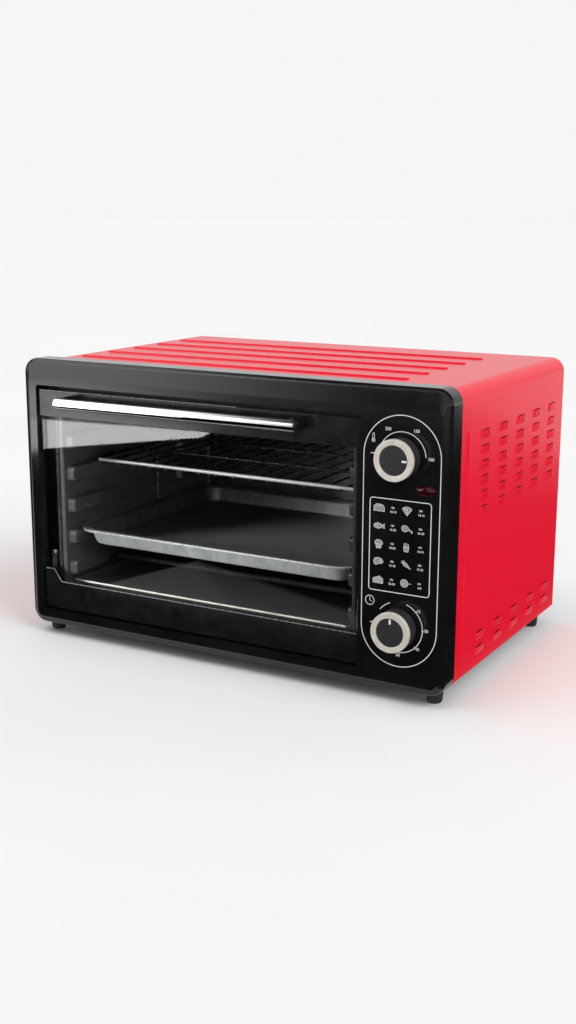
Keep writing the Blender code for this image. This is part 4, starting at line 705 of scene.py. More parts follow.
# Ten small food pictures in strokes, drawn in a box two wide and one and a half high.
foodStrokes = (
    # loaf
    (shut((-0.9, -0.5), (0.9, -0.5), (0.9, 0.1), (0.7, 0.45), (0.2, 0.6), (-0.5, 0.58),
          (-0.88, 0.3)), opened((-0.4, 0.5), (-0.2, 0.1)), opened((0.1, 0.5), (0.3, 0.1))),
    # slice of pizza
    (opened(*arc(0, -0.1, 0.95, 0.75, -60, 60, 10)),
     opened((-0.82, 0.28), (0, -0.75), (0.82, 0.28)), opened(*circle(0, 0.15, 0.14, 10)),
     opened(*circle(-0.3, 0.28, 0.1, 8)), opened(*circle(0.05, -0.25, 0.1, 8))),
    # fish
    (shut(*arc(-0.15, 0, 0.72, 0.42, 90, 450, 22)), shut((0.5, 0), (0.95, 0.4), (0.95, -0.4)),
     opened(*circle(-0.55, 0.08, 0.06, 6)), opened(*arc(-0.5, 0, 0.3, 0.34, 40, 140, 6))),
    # leg of chicken
    (opened(*arc(-0.3, 0.05, 0.55, 0.5, 105, 420, 20)), opened((0.23, -0.08), (0.7, -0.35)),
     opened((0.17, 0.3), (0.66, -0.2)), opened(*arc(0.82, -0.4, 0.17, 0.17, -80, 190, 10))),
    # muffin
    (shut((-0.5, -0.05), (-0.35, -0.7), (0.35, -0.7), (0.5, -0.05)),
     opened(*arc(0, 0.1, 0.68, 0.55, -105, 105, 14)), opened((-0.16, -0.1), (-0.12, -0.65)),
     opened((0.16, -0.1), (0.12, -0.65))),
    # fries
    (shut((-0.45, 0.05), (-0.32, -0.72), (0.32, -0.72), (0.45, 0.05)),
     opened((-0.35, 0.1), (-0.4, 0.6)), opened((-0.12, 0.1), (-0.14, 0.72)),
     opened((0.12, 0.1), (0.15, 0.66)), opened((0.33, 0.1), (0.42, 0.55))),
    # chop
    (shut((-0.8, 0.05), (-0.6, 0.5), (0, 0.62), (0.6, 0.45), (0.85, 0), (0.5, -0.35),
          (0, -0.3), (-0.35, -0.6), (-0.7, -0.4)),
     opened(*arc(0.35, 0.1, 0.2, 0.14, 0, 360, 10))),
    # carrot
    (shut((0.85, -0.6), (-0.35, -0.1), (-0.5, 0.2), (-0.2, 0.42), (0.1, 0.3)),
     opened((-0.4, 0.3), (-0.85, 0.35)), opened((-0.4, 0.32), (-0.7, 0.7)),
     opened((-0.35, 0.35), (-0.3, 0.75))),
    # slice of cake
    (shut((-0.85, -0.55), (0.85, -0.55), (0.85, 0.15), (-0.85, 0.15)),
     opened((-0.85, 0.15), (0.3, 0.6), (0.85, 0.15)), opened((-0.85, -0.2), (0.85, -0.2))),
    # egg in a pan
    (opened(*circle(-0.2, 0, 0.62, 22)), opened(*circle(-0.25, 0.02, 0.22, 12)),
     opened((0.42, 0), (0.98, 0))),
)


def makeDialPrint(shape):
    line, thin = panelPrint["outline"], panelPrint["thin"]
    ribbon(shape, roundedRing(panelPrint["left"], panelPrint["right"], panelPrint["low"],
                              panelPrint["high"], panelPrint["radius"], 20), line, True)
    ribbon(shape, roundedRing(*panelPrint["frame"], 5), line, True)
    reach = panelPrint["temperatureArc"]
    ribbon(shape, arc(knob["x"], knob["temperatureZ"], reach, reach,
                      *panelPrint["temperatureTurn"], 40), line)
    reach = panelPrint["timerArc"]
    for turn in panelPrint["timerTurns"]:
        ribbon(shape, arc(knob["x"], knob["timerZ"], reach, reach, *turn), line)
    for stop in panelPrint["stops"]:
        ribbon(shape, stop, line)
    for degrees in panelPrint["timerMarks"]:
        angle = math.radians(degrees)
        ribbon(shape, [(knob["x"] + step * math.sin(angle),
                        knob["timerZ"] + step * math.cos(angle)) for step in (
            reach - panelPrint["markInside"], reach + panelPrint["markOutside"])],
            thin * panelPrint["markShare"])
    # thermometer and clock
    ribbon(shape, roundedRing(*panelPrint["stem"], 4), thin, True)
    ribbon(shape, circle(*panelPrint["bulb"], 14), thin * panelPrint["markShare"])
    ribbon(shape, circle(*panelPrint["clock"], 28), thin * panelPrint["clockShare"])
    ribbon(shape, panelPrint["hands"], thin * panelPrint["handShare"])


def makePrint():
    shape, tones = bmesh.new(), bmesh.new()
    makeDialPrint(shape)
    columns, rows = panelPrint["iconColumns"], panelPrint["iconRows"]
    size = panelPrint["iconWidth"]
    for (x, z), strokes in zip([(x, z) for z in rows for x in columns], foodStrokes):
        for points, closed in strokes:
            placed = [(x + u * size, z + v * size) for u, v in points]
            ribbon(shape, placed, panelPrint["thin"], closed)
            if len(points) > 2:
                patch(tones, placed)
    dressed(newPiece("foodTones", tones), "oven_body", "white_print", printTone,
            weighted=False)
    parts = [newPiece("printLines", shape)]
    for text, x, z in panelPrint["numbers"]:
        parts.append(printedText(text, x, z, panelPrint["numberSize"]))
    for z, entries in zip(rows, panelPrint["labels"]):
        for x, texts in zip(columns, entries):
            for text, key in zip(texts, ("heat", "minutes")):
                across, up, high = panelPrint[key]
                parts.append(printedText(text, x + across, z + up, high))
    dressed(joined("panelPrint", parts), "oven_body", "white_print", printWhite,
            weighted=False)


makePrint()
print("panel print ready")


# Rotary controls and the lamp

def makeControl(label, body, z, degrees):
    def spun(name, profile, closed=False):
        return newPiece(label + name, turned(profile, place, (0, -1, 0), knob["sides"],
                                             closed))

    place = (knob["x"], 0, z)
    reach, ringBack = knob["reach"], knob["reach"] - knob["ringDepth"]
    face, seat = reach - knob["faceDrop"], ringBack - knob["gap"]
    core = knob["ringInner"] - knob["gap"]
    grip = spun("Knob", eased([
        (0, face), (core, face), (core, seat), (knob["radius"] - knob["taper"], seat),
        (knob["radius"], knob["taperEnd"]), (knob["radius"], knob["stand"]),
        (0, knob["stand"])], knob["rounding"], 4, False))
    dressed(grip, body, "black_plastic", knobBlack, label + "_knob")
    trim = spun("Ring", eased([
        (knob["ringInner"], reach - knob["ringDish"]),
        (knob["ringOuter"] - knob["ringLean"], reach), (knob["ringOuter"], ringBack),
        (knob["ringInner"], ringBack)], knob["ringRounding"], 4), True)
    dressed(trim, body, "silver_trim", silverSatin, label + "_knob_ring")
    half, tip = knob["pointerWidth"] / 2, core - knob["pointerInset"]
    outline = roundedRing(-half, half, tip - knob["pointerLength"], tip,
                          knob["pointerInset"], 4)
    marker = extruded(outline, facingFront, -face - knob["pointerRise"],
                      -face + knob["pointerSunk"])
    bmesh.ops.transform(marker, matrix=Matrix.Rotation(math.radians(degrees), 4, "Y"),
                        verts=marker.verts)
    bmesh.ops.translate(marker, vec=place, verts=marker.verts)
    pointer = withEdges(newPiece(label + "Pointer", marker), knob["pointerEdge"])
    dressed(pointer, body, "white_print", printWhite)


def makeLamp():
    flange = lamp["flange"]
    profile = [(share, -flange * depth) for share, depth in lamp["lipShares"]]
    lip, lipY = profile[-1]
    profile += [(lip * math.cos(angle), lipY - lamp["dome"] * math.sin(angle))
                for angle in angles(0, 90, 9)[1:-1]]
    rings = [[(x, y, z) for x, z in oval(lamp["x"], lamp["z"], lamp["width"] / 2 * share,
                                         lamp["height"] / 2 * share, lamp["sides"])]
             for share, y in profile]
    lens = newPiece("powerLamp", lofted(bmesh.new(), rings))
    dressed(lens, "oven_body", "red_lens", redLens, "power_lamp_lens", weighted=False)


makeControl("temperature", "temperature_dial", knob["temperatureZ"], 90)
makeControl("timer", "timer_dial", knob["timerZ"], 0)
makeLamp()
print("controls ready")


# Outer cover: bent sheet with pressed scoops, ribs and a bead

cover = {
    "half": 0.2475, "top": 0.2934, "front": 0.0273, "back": 0.330, "low": 0.007,
    "corner": 0.015, "sheet": 0.001, "cornerSteps": 14,
    "ribLeft": -0.226, "ribRight": 0.174, "ribFirst": 0.075, "ribPitch": 0.0488,
    "ribCount": 5, "ribWidth": 0.010, "ribHeight": 0.0016, "ribSlope": 0.0016,
    "ribSunk": 0.0005,
    "ribShares": ((0, 0), (0.22, 0.16), (0.5, 0.52), (0.8, 0.86), (1.1, 0.98), (1.6, 1.0)),
    "beadY": 0.052, "beadWidth": 0.008, "beadLow": 0.025, "beadHigh": 0.252,
    "beadHeight": 0.0011,
    "scoopFirst": 0.096, "scoopPitchY": 0.0495, "scoopColumns": 5, "scoopPitchZ": 0.0152,
    "highTop": 0.2475, "highRows": 6, "lowTop": 0.042, "lowRows": 2,
    "slit": 0.019, "base": 0.038, "drop": 0.0085, "rise": 0.0018, "scoopSheet": 0.0009,
    "roundShare": 0.85, "flankShare": 0.16, "flankGrowthShare": 0.5, "steps": (20, 8),
    "mouth": 0.0004, "holeDepth": 0.004, "holeSlitShare": 0.45, "holeDropShare": 0.82,
    "holeWidthShare": 0.93,
}


def coverSheet():
    skins = []
    half, top, corner = cover["half"], cover["top"], cover["corner"]
    for radius in (corner, corner - cover["sheet"]):
        reach = radius - corner
        points = [(half + reach, cover["low"])]
        for middle, first in ((half - corner, 0), (corner - half, 90)):
            points += [(middle + radius * math.cos(angle),
                        top - corner + radius * math.sin(angle))
                       for angle in angles(first, first + 90, cover["cornerSteps"])]
        skins.append(points + [(-half - reach, cover["low"])])
    return extruded(skins[0] + skins[1][::-1], facingFront, cover["front"], cover["back"])


def pressedBar(shape, low, high, place, height):
    # Long crowned rib with round ends, sunk a little into the sheet.
    radius = min(high[0] - low[0], high[1] - low[1]) / 2
    levels = [(0, -cover["ribSunk"])] + [(cover["ribSlope"] * inset, height * level)
                                         for inset, level in cover["ribShares"]]
    return lofted(shape, [[place(u, v, rise) for u, v in roundedRing(
        low[0] + reach, high[0] - reach, low[1] + reach, high[1] - reach,
        radius - reach, 8)] for reach, rise in levels])


def scoopHalfWidth(share):
    return (cover["slit"] + (cover["base"] - cover["slit"]) * share) / 2


def scoopShell(side):
    # One pressed scoop around its slit, open upwards, with a wall of sheet metal.
    across, down = cover["steps"]
    rows = []
    for level in range(down + 1):
        share = level / down
        reach = scoopHalfWidth(share)
        rise = cover["rise"] * (1 - share) ** cover["roundShare"]
        slope = cover["flankShare"] + cover["flankGrowthShare"] * share
        row = []
        for index in range(across + 1):
            u = -1 + 2 * index / across
            flank = min(1.0, (1 - abs(u)) / slope)
            lift = rise * flank * flank * (3 - 2 * flank)
            row.append((u * reach, -share * cover["drop"], lift))
        rows.append(row)
    shape = bmesh.new()
    skins = [[[shape.verts.new((side * (lift - sink), u, v)) for u, v, lift in row]
              for row in rows] for sink in (0.0, cover["scoopSheet"])]
    for skin in skins:
        for upper, lower in zip(skin, skin[1:]):
            for index in range(across):
                shape.faces.new((upper[index], upper[index + 1], lower[index + 1],
                                 lower[index]))
    # rim all round, from the outer skin to the inner one
    places = ([(0, i) for i in range(across + 1)] + [(j, -1) for j in range(1, down + 1)]
              + [(-1, i) for i in range(across - 1, -1, -1)]
              + [(j, 0) for j in range(down - 1, 0, -1)])
    rims = [[skin[j][i] for skin in skins] for j, i in places]
    for (one, low), (other, otherLow) in zip(rims, rims[1:] + rims[:1]):
        shape.faces.new((one, other, otherLow, low))
    return shape


def scoopHole(side):
    upper, lower = cover["mouth"], -cover["drop"] * cover["holeDropShare"]
    top = cover["slit"] * cover["holeSlitShare"]
    foot = scoopHalfWidth(cover["holeDropShare"]) * cover["holeWidthShare"]
    outline = [(-top, upper), (top, upper), (foot, lower), (-foot, lower)]
    depth = cover["holeDepth"] * side
    return extruded(outline, facingSide, -depth, depth)


def scoopRows(name, maker, side, top, rows):
    place = (side * cover["half"], cover["scoopFirst"], top)
    return inRows(name, maker(side), redPaint, place, (0, cover["scoopPitchY"], 0),
                  cover["scoopColumns"], (0, 0, -cover["scoopPitchZ"]), rows)


def makeCover():
    sheet = newPiece("outerCover", coverSheet())
    groups = ((cover["highTop"], cover["highRows"]), (cover["lowTop"], cover["lowRows"]))
    for side in (-1, 1):
        for top, rows in groups:
            combined(sheet, scoopRows("scoopHoles", scoopHole, side, top, rows), "DIFFERENCE")
            combined(sheet, scoopRows("scoops", scoopShell, side, top, rows), "UNION")
    bars = bmesh.new()
    width = cover["ribWidth"] / 2
    for index in range(cover["ribCount"]):
        y = cover["ribFirst"] + index * cover["ribPitch"]
        pressedBar(bars, (cover["ribLeft"], y - width), (cover["ribRight"], y + width),
                   lambda u, v, rise: (u, v, cover["top"] + rise), cover["ribHeight"])
    width = cover["beadWidth"] / 2
    for side in (-1, 1):
        pressedBar(bars, (cover["beadY"] - width, cover["beadLow"]),
                   (cover["beadY"] + width, cover["beadHigh"]),
                   lambda u, v, rise: (side * (cover["half"] + rise), u, v),
                   cover["beadHeight"])
    addedTo(sheet, bars)
    dressed(sheet, "oven_body", "red_painted_steel", redPaint, "outer_cover", smooth=48)


makeCover()
print("cover ready")


# Back panel, base pan, gland, screws and feet

back = {
    "front": 0.327, "sheet": 0.001, "half": 0.2462, "low": 0.0083, "top": 0.2921,
    "corner": 0.0137, "edge": 0.0002, "panEdge": 0.0003,
    "slotPitchX": 0.070, "slotPitchZ": 0.012, "slotTop": 0.245, "slotLength": 0.045,
    "slotHeight": 0.004, "slotDepth": 0.003, "columns": 5, "rows": 3,
    "glandX": 0.200, "glandZ": 0.045, "glandHole": 0.0063, "holeFront": 0.32,
    "holeBack": 0.335,
}
screw = {
    "head": ((0, 0.0017), (0.0014, 0.0017), (0.0026, 0.0012), (0.0033, 0.0004), (0.0034, 0)),
    "crossReach": 0.0018, "crossHalf": 0.00032, "crossFloor": 0.0009, "crossTop": 0.004,
    "x": -0.232, "z": 0.022, "sunk": 0.0001, "pitchX": 0.464, "pitchZ": 0.1265,
    "columns": 2, "rows": 3,
}
foot = {
    "height": 0.012, "radius": 0.0085, "taper": 0.001, "soleIn": 0.0012, "soleRise": 0.0014,
    "shoulder": 0.0018, "shoulderIn": 0.0001, "rounding": 0.0009, "x": 0.232,
    "frontY": 0.0235, "rearY": 0.300, "frontRise": -0.0003, "rearRise": 0.0067,
}
gland = {
    "bore": 0.0035, "neck": 0.0060, "flange": 0.011, "flangeLow": 0.0073,
    "flangeHigh": 0.0099, "sleeve": 0.0075, "sleeveLow": 0.0103, "length": 0.017,
    "startY": 0.321, "rounding": 0.0006,
}


def crossCut(piece, x, z, front, rear, reach, half, place=bodyPlace):
    # Crossed recess of a screw head.
    for across, up in ((reach, half), (half, reach)):
        cutBy(piece, slab((x - across, front, z - up), (x + across, rear, z + up)), place)


def makeBack():
    half, rear = back["half"], back["front"] + back["sheet"]
    outline = [point for point in roundedRing(-half, half, back["low"], back["top"],
                                              back["corner"], 12)
               if point[1] > back["low"] + back["corner"]]
    outline += [(-half, back["low"]), (half, back["low"])]
    panel = newPiece("rearPanel", extruded(outline, facingFront, back["front"], rear))
    length, height = back["slotLength"] / 2, back["slotHeight"] / 2
    slot = extruded(roundedRing(-length, length, -height, height, height, 6), facingFront,
                    -back["slotDepth"], back["slotDepth"])
    start = (back["slotPitchX"] * (1 - back["columns"]) / 2, back["front"], back["slotTop"])
    slots = inRows("rearSlots", slot, galvanised, start, (back["slotPitchX"], 0, 0),
                   back["columns"], (0, 0, -back["slotPitchZ"]), back["rows"])
    combined(panel, slots, "DIFFERENCE")
    cutBy(panel, rod((back["glandX"], back["holeFront"], back["glandZ"]),
                     (back["glandX"], back["holeBack"], back["glandZ"]),
                     back["glandHole"], 40))
    withEdges(panel, back["edge"])
    dressed(panel, "oven_body", "galvanised_steel", galvanised, "rear_panel")


def makeRearScrews():
    # Pan head screws down both sides of the rear panel.
    head = newPiece("head", turned(screw["head"], (0, 0, 0), (0, 1, 0), 28), Vector())
    crossCut(head, 0, 0, screw["crossFloor"], screw["crossTop"], screw["crossReach"],
             screw["crossHalf"], Vector())
    shape = bmesh.new()
    shape.from_mesh(head.data)
    bpy.data.objects.remove(head)
    place = (screw["x"], back["front"] + back["sheet"] - screw["sunk"], screw["z"])
    screws = inRows("rearScrews", shape, steelBright, place, (screw["pitchX"], 0, 0),
                    screw["columns"], (0, 0, screw["pitchZ"]), screw["rows"])
    dressed(screws, "oven_body", "galvanised_steel", steelBright)


def makeFeet():
    radius, sole = foot["radius"], foot["radius"] - foot["taper"]
    for end in ("front", "rear"):
        top = foot["height"] + foot[end + "Rise"]
        profile = eased([(0, 0), (sole - foot["soleIn"], 0), (sole, foot["soleRise"]),
                         (radius - foot["shoulderIn"], top - foot["shoulder"]),
                         (radius, top), (0, top)], foot["rounding"], 3, False)
        for side, x in (("left", -foot["x"]), ("right", foot["x"])):
            place = (x, foot[end + "Y"], -foot["height"])
            piece = newPiece("foot_" + end + side, turned(profile, place, (0, 0, 1), 56))
            dressed(piece, "oven_body", "black_rubber", rubber, "foot_" + end + "_" + side)


def makeGland():
    bore, neck, flange = gland["bore"], gland["neck"], gland["flange"]
    profile = eased([
        (bore, gland["length"]), (neck, gland["length"]), (gland["sleeve"], gland["sleeveLow"]),
        (flange, gland["flangeHigh"]), (flange, gland["flangeLow"]),
        (neck, gland["flangeLow"]), (neck, 0), (bore, 0)], gland["rounding"], 3)
    place = (back["glandX"], gland["startY"], back["glandZ"])
    piece = newPiece("cordGland", turned(profile, place, (0, 1, 0), 56, True))
    dressed(piece, "oven_body", "black_rubber", rubber, "cord_gland")


def makeBasePan():
    pan = withEdges(copied("base_pan", "basePan"), back["panEdge"])
    dressed(pan, "oven_body", "galvanised_steel", galvanised, "base_pan")


makeBack()
makeRearScrews()
makeFeet()
makeGland()
makeBasePan()
print("back and base ready")


# Cooking cavity

cavity = {
    "left": -0.215, "right": 0.141, "flangeY": 0.0203, "front": 0.0213, "back": 0.311,
    "low": 0.0397, "high": 0.262, "sheet": 0.001, "gap": 0.0003, "edge": 0.0003,
    "padTops": (0.068, 0.104, 0.140, 0.176, 0.212), "padHeight": 0.017,
    "padDepth": 0.008, "padRound": 0.005, "padSpans": ((0.0265, 0.0895), (0.240, 0.292)),
    "padSteps": ((-0.06, 0), (0.04, 0), (0.10, 0.0006), (0.80, 0.0013), (0.90, 0.0017),
                 (0.97, 0.0025), (1.0, 0.0036)),
    "padTopShare": 0.3, "padRoundShare": 0.6,
    "flangeLeft": -0.2355, "flangeRight": 0.1615, "flangeEdge": 0.0042, "bend": 0.0021,
    "beadX": 0.0075, "beadRadius": 0.0021, "beadRise": 0.0012, "beadSunk": 0.0004,
    "beadShort": 0.0006, "fineEdge": 0.0002,
    "stayLeft": -0.2278, "stayRight": 0.1538, "stayHalf": 0.00175, "stayLow": 0.070,
    "stayHigh": 0.0865, "stayCut": (0.01, 0.03),
    "rodY": (0.112, 0.214), "rodZ": (0.056, 0.248), "rodRadius": 0.004, "rodHole": 0.0043,
    "rodHoleReach": 0.006,
}
seam = {
    "y": 0.200, "dash": 0.0021, "pitch": 0.0072, "rise": 0.005, "wallSunk": 0.0001,
    "wallSize": (0.0004, 0.0007), "cornerIn": 0.0028, "cornerY": 0.0012,
    "cornerSize": (0.0009, 0.0004), "stripLeft": 0.0005, "stripRight": 0.0105,
    "stripWidth": 0.010, "stripFront": 0.0010, "stripBack": 0.0001, "stripShort": 0.002,
    "weld": ((0, 0.0006), (0.0010, 0.00055), (0.0017, 0.0003), (0.0021, 0.0)),
    "weldX": 0.0055, "weldY": 0.0009, "weldRise": 0.014, "weldPitchX": 0.3455,
    "weldPitchZ": 0.0195, "weldRows": 11,
}
heater = {
    "wallGap": 0.0013, "pin": 0.002, "pinLength": 0.017, "collar": 0.007,
    "collarLength": 0.010, "rounding": 0.0006,
}


def wallX(side):
    return cavity["left"] if side < 0 else cavity["right"]


def flangeX(side, distance):
    # A place on the flange, measured outwards from the wall's inner face.
    return wallX(side) + side * distance


def padShape(shape, side, first, last, top):
    # Rounded pad pressed inwards from a side wall.
    rings = []
    for share, inset in cavity["padSteps"]:
        x = wallX(side) - side * cavity["padDepth"] * share
        rings.append([(x, u, v) for u, v in roundedRing(
            first + inset, last - inset, top - cavity["padHeight"] + inset,
            top - inset * cavity["padTopShare"],
            cavity["padRound"] - inset * cavity["padRoundShare"], 7)])
    return lofted(shape, rings)


def makeSideWall(label, side, surface, node):
    def skin(sink):
        # Wall and rounded bend in one run, seen from above.
        reach = radius - sink
        return [(sink, cavity["back"])] + [
            (radius - reach * math.cos(angle), front + radius - reach * math.sin(angle))
            for angle in angles(0, 90, 8)] + [(cavity["flangeEdge"], front + sink)]

    radius, front = cavity["bend"], cavity["flangeY"]
    outline = [(flangeX(side, u), v) for u, v in skin(0) + skin(cavity["sheet"])[::-1]]
    piece = newPiece(label, extruded(outline, facingUp, cavity["low"] + cavity["gap"],
                                     cavity["high"] - cavity["gap"]))
    pads = bmesh.new()
    for first, last in cavity["padSpans"]:
        for top in cavity["padTops"]:
            padShape(pads, side, first, last, top)
    addedTo(piece, pads)
    holes = bmesh.new()
    for y in cavity["rodY"]:
        for z in cavity["rodZ"]:
            rod((wallX(side) - cavity["rodHoleReach"], y, z),
                (wallX(side) + cavity["rodHoleReach"], y, z), cavity["rodHole"], 32,
                shape=holes)
    cutBy(piece, holes)
    dressed(withEdges(piece, cavity["edge"], 2, 55), "oven_body", "cavity_steel", surface,
            node)


def makeFlange(label, side):
    # Outer flange made near-black as painted shade, with one pressed bead beside the bend; the
    # right bead shares the painted shade.
    low, high = cavity["low"] + cavity["gap"], cavity["high"] - cavity["gap"]
    edge = cavity["flangeLeft"] if side < 0 else cavity["flangeRight"]
    first, last = sorted((flangeX(side, cavity["flangeEdge"]), edge))
    flange = newPiece(label, slab((first, cavity["flangeY"], low),
                                  (last, cavity["front"], high)))
    stay = cavity["stayLeft"] if side < 0 else cavity["stayRight"]
    front, rear = cavity["stayCut"]
    cutBy(flange, slab((stay - cavity["stayHalf"], front, cavity["stayLow"]),
                       (stay + cavity["stayHalf"], rear, cavity["stayHigh"])))
    dressed(withEdges(flange, cavity["fineEdge"]), "oven_body", "cavity_steel", flangeShadeSheet)
    radius, sunk = cavity["beadRadius"], cavity["beadSunk"]
    outline = [(radius, sunk)] + [
        (radius * math.cos(angle), -cavity["beadRise"] * math.sin(angle))
        for angle in angles(0, 180, 12)] + [(-radius, sunk)]
    outline = [(flangeX(side, cavity["beadX"]) + u, cavity["flangeY"] + v)
               for u, v in outline]
    bead = extruded(outline, facingUp, low + cavity["beadShort"], high - cavity["beadShort"])
    dressed(newPiece(label + "Bead", bead), "oven_body", "cavity_steel",
            beadMetal if side < 0 else flangeShadeSheet)


def dashRow(name, x, y, size):
    half = (*size, seam["dash"])
    rows = int((cavity["padTops"][-1] - cavity["padTops"][1]) / seam["pitch"])
    column = inRows(name, slab([-reach for reach in half], half), beadMetal,
                    (x, y, cavity["padTops"][1] + seam["rise"]), (0, 0, 0), 1,
                    (0, 0, seam["pitch"]), rows)
    dressed(withEdges(column, cavity["fineEdge"]), "oven_body", "cavity_steel", nickelAndHighlightWire)


def makeSeams():
    # Spot welds down the folded seams of the back corners.
    strips = bmesh.new()
    for x in (cavity["left"] + seam["stripLeft"], cavity["right"] - seam["stripRight"]):
        slab((x, cavity["back"] - seam["stripFront"], cavity["low"] + seam["stripShort"]),
             (x + seam["stripWidth"], cavity["back"] - seam["stripBack"],
              cavity["high"] - seam["stripShort"]), strips)
    # seam strips and welds take the darker cavity sheet, painted shade
    dressed(withEdges(newPiece("cornerSeams", strips), cavity["edge"]), "oven_body",
            "cavity_steel", cavityShadeSheet)
    spot = turned(seam["weld"], (0, 0, 0), (0, -1, 0), 16)
    place = (cavity["left"] + seam["weldX"], cavity["back"] - seam["weldY"],
             cavity["low"] + seam["weldRise"])
    welds = inRows("spotWelds", spot, cavityMetal, place, (seam["weldPitchX"], 0, 0), 2,
                   (0, 0, seam["weldPitchZ"]), seam["weldRows"])
    dressed(welds, "oven_body", "cavity_steel", cavityShadeSheet)


def makeCavity():
    # Painted shade: the right wall takes the darker copy of the cavity sheet, as do the roof,
    # floor and back below
    for label, side, surface in (("Left", -1, cavityMetal), ("Right", 1, cavityShadeSheet)):
        name = "cavity" + label
        makeSideWall(name, side, surface, "cavity_" + label.lower() + "_wall")
        makeFlange(name + "Flange", side)
        dashRow(name + "Seam", flangeX(side, -seam["wallSunk"]), seam["y"],
                seam["wallSize"])
        dashRow(name + "CornerSeam", flangeX(side, -seam["cornerIn"]),
                cavity["back"] - seam["cornerY"], seam["cornerSize"])
    for part in ("Roof", "Floor", "Back"):
        node = "cavity_" + part.lower()
        dressed(withEdges(copied(node, "cavity" + part), cavity["edge"]), "oven_body",
                "cavity_steel", cavityShadeSheet, node)
    makeSeams()


def makeHeaters():
    middle = (cavity["left"] + cavity["right"]) / 2
    inside = (cavity["right"] - cavity["left"]) / 2 + heater["wallGap"]
    pinEnd, collarEnd = inside + heater["pinLength"], inside + heater["collarLength"]
    half = [(0, pinEnd), (heater["pin"], pinEnd), (heater["pin"], collarEnd),
            (heater["collar"], collarEnd), (heater["collar"], inside),
            (cavity["rodRadius"], inside)]
    profile = half + [(radius, -distance) for radius, distance in reversed(half)]
    profile = eased(profile, heater["rounding"], 2, False)
    for level, z in zip(("bottom", "top"), cavity["rodZ"]):
        for line, y in zip(("front", "rear"), cavity["rodY"]):
            node = "heater_" + level + "_" + line
            piece = newPiece(node + "_tube", turned(profile, (middle, y, z), (1, 0, 0), 32))
            dressed(piece, "oven_body", "heater_rod", rodMetal, node)


makeCavity()
makeHeaters()
print("cavity ready")


# Wire rack, baking tray and crumb tray

rack = {
    "left": -0.210, "right": 0.136, "front": 0.071, "back": 0.305, "z": 0.1783,
    "frame": 0.002, "corner": 0.010, "wire": 0.0015, "pitch": 0.0214, "count": 16,
    "cross": 0.0017, "crossReach": 0.0005, "stickOut": 0.0032, "weld": 0.0006,
    "wireEnds": 0.55, "crossEnds": 0.4, "frontProud": 0.0001, "frontShare": 0.6,
}
tray = {
    "left": -0.212, "right": 0.138, "front": 0.030, "back": 0.306, "rim": 0.1059,
    "height": 0.019, "sheet": 0.0008, "corner": 0.028, "cornerShare": 0.8, "lip": 0.008,
    "taper": 0.006, "floor": 0.012, "lipDrop": 0.0022, "rounding": 0.0028,
    "rimWire": 0.0008, "rimIn": 0.0002, "rimLow": 0.0003,
}
crumb = {
    "front": 0.025, "back": 0.305, "low": 0.0403, "top": 0.0483, "corner": 0.005,
    "lip": 0.002, "floor": 0.012, "lean": 0.0007, "edge": 0.0003, "lipDrop": 0.0012,
    "rounding": 0.0011, "sheet": 0.0006, "roll": 0.0012, "rollIn": 0.0008, "rollLow": 0.0006,
}


def makeRack():
    left, right, front, wire = rack["left"], rack["right"], rack["front"], rack["wire"]
    depth = rack["back"] - front
    loop = [(x, y, rack["z"]) for x, y in roundedRing(left, right, front, rack["back"],
                                                      rack["corner"], 8)]
    frameWire = pipe("wireRack", loop, rack["frame"], closed=True)
    wireZ = rack["z"] - rack["frame"] - wire + rack["weld"]
    one = rod((0, 0, 0), (0, depth + 2 * rack["stickOut"], 0), wire, 14, rack["wireEnds"])
    firstX = (left + right) / 2 - rack["pitch"] * (rack["count"] - 1) / 2
    wires = inRows("rackWires", one, chromeWire, (firstX, front - rack["stickOut"], wireZ),
                   (rack["pitch"], 0, 0), rack["count"])
    combined(frameWire, wires, "UNION")
    reach, cross = rack["crossReach"], rack["cross"]
    bar = rod((0, 0, 0), (right - left + 2 * reach, 0, 0), cross, 14, rack["crossEnds"])
    bars = inRows("rackCrosses", bar, chromeWire,
                  (left - reach, front + depth / 3, wireZ + wire + cross - rack["weld"]),
                  (0, depth / 3, 0), 2)
    combined(frameWire, bars, "UNION")
    dressed(frameWire, "rack", "chrome", rackShadeWire, "wire_rack", smooth=50)
    # painted highlight: a bright skin over the front wire of the rack
    end = rack["corner"] * rack["frontShare"]
    frontHighlight = pipe("rackFrontHighlight", [(left + end, front, rack["z"]),
                                       (right - end, front, rack["z"])],
                     rack["frame"] + rack["frontProud"], sides=20)
    dressed(frontHighlight, "rack", "chrome", nickelAndHighlightWire)


def panPiece(name, front, rear, section, radiusOf, sheet):
    rings = [[(x, y, z) for x, y in roundedRing(
        tray["left"] + inset, tray["right"] - inset, front + inset, rear - inset,
        radiusOf(inset), 12)] for inset, z in section]
    return withSheet(newPiece(name, lofted(bmesh.new(), rings, closeEnd=False)), sheet)


def makeTray():
    rim, low = tray["rim"], tray["rim"] + tray["sheet"] - tray["height"]
    start = tray["lip"] + tray["taper"]
    section = eased([(start + tray["floor"], low), (start, low), (tray["lip"], rim),
                     (0, rim), (0, rim - tray["lipDrop"])], tray["rounding"], 5, False)
    pan = panPiece("bakingTray", tray["front"], tray["back"], section,
                   lambda inset: tray["corner"] - inset * tray["cornerShare"],
                   tray["sheet"])
    dressed(pan, "tray", "dark_tray_steel", trayMetal, "baking_tray", smooth=50)
    # rolled rim, made bright as a painted highlight
    inset = tray["rimIn"]
    ring = roundedRing(tray["left"] + inset, tray["right"] - inset, tray["front"] + inset,
                       tray["back"] - inset, tray["corner"], 14)
    rimWire = pipe("trayRim", [(x, y, rim - tray["rimLow"]) for x, y in ring],
                   tray["rimWire"], closed=True, sides=12)
    dressed(rimWire, "tray", "dark_tray_steel", rimHighlight)


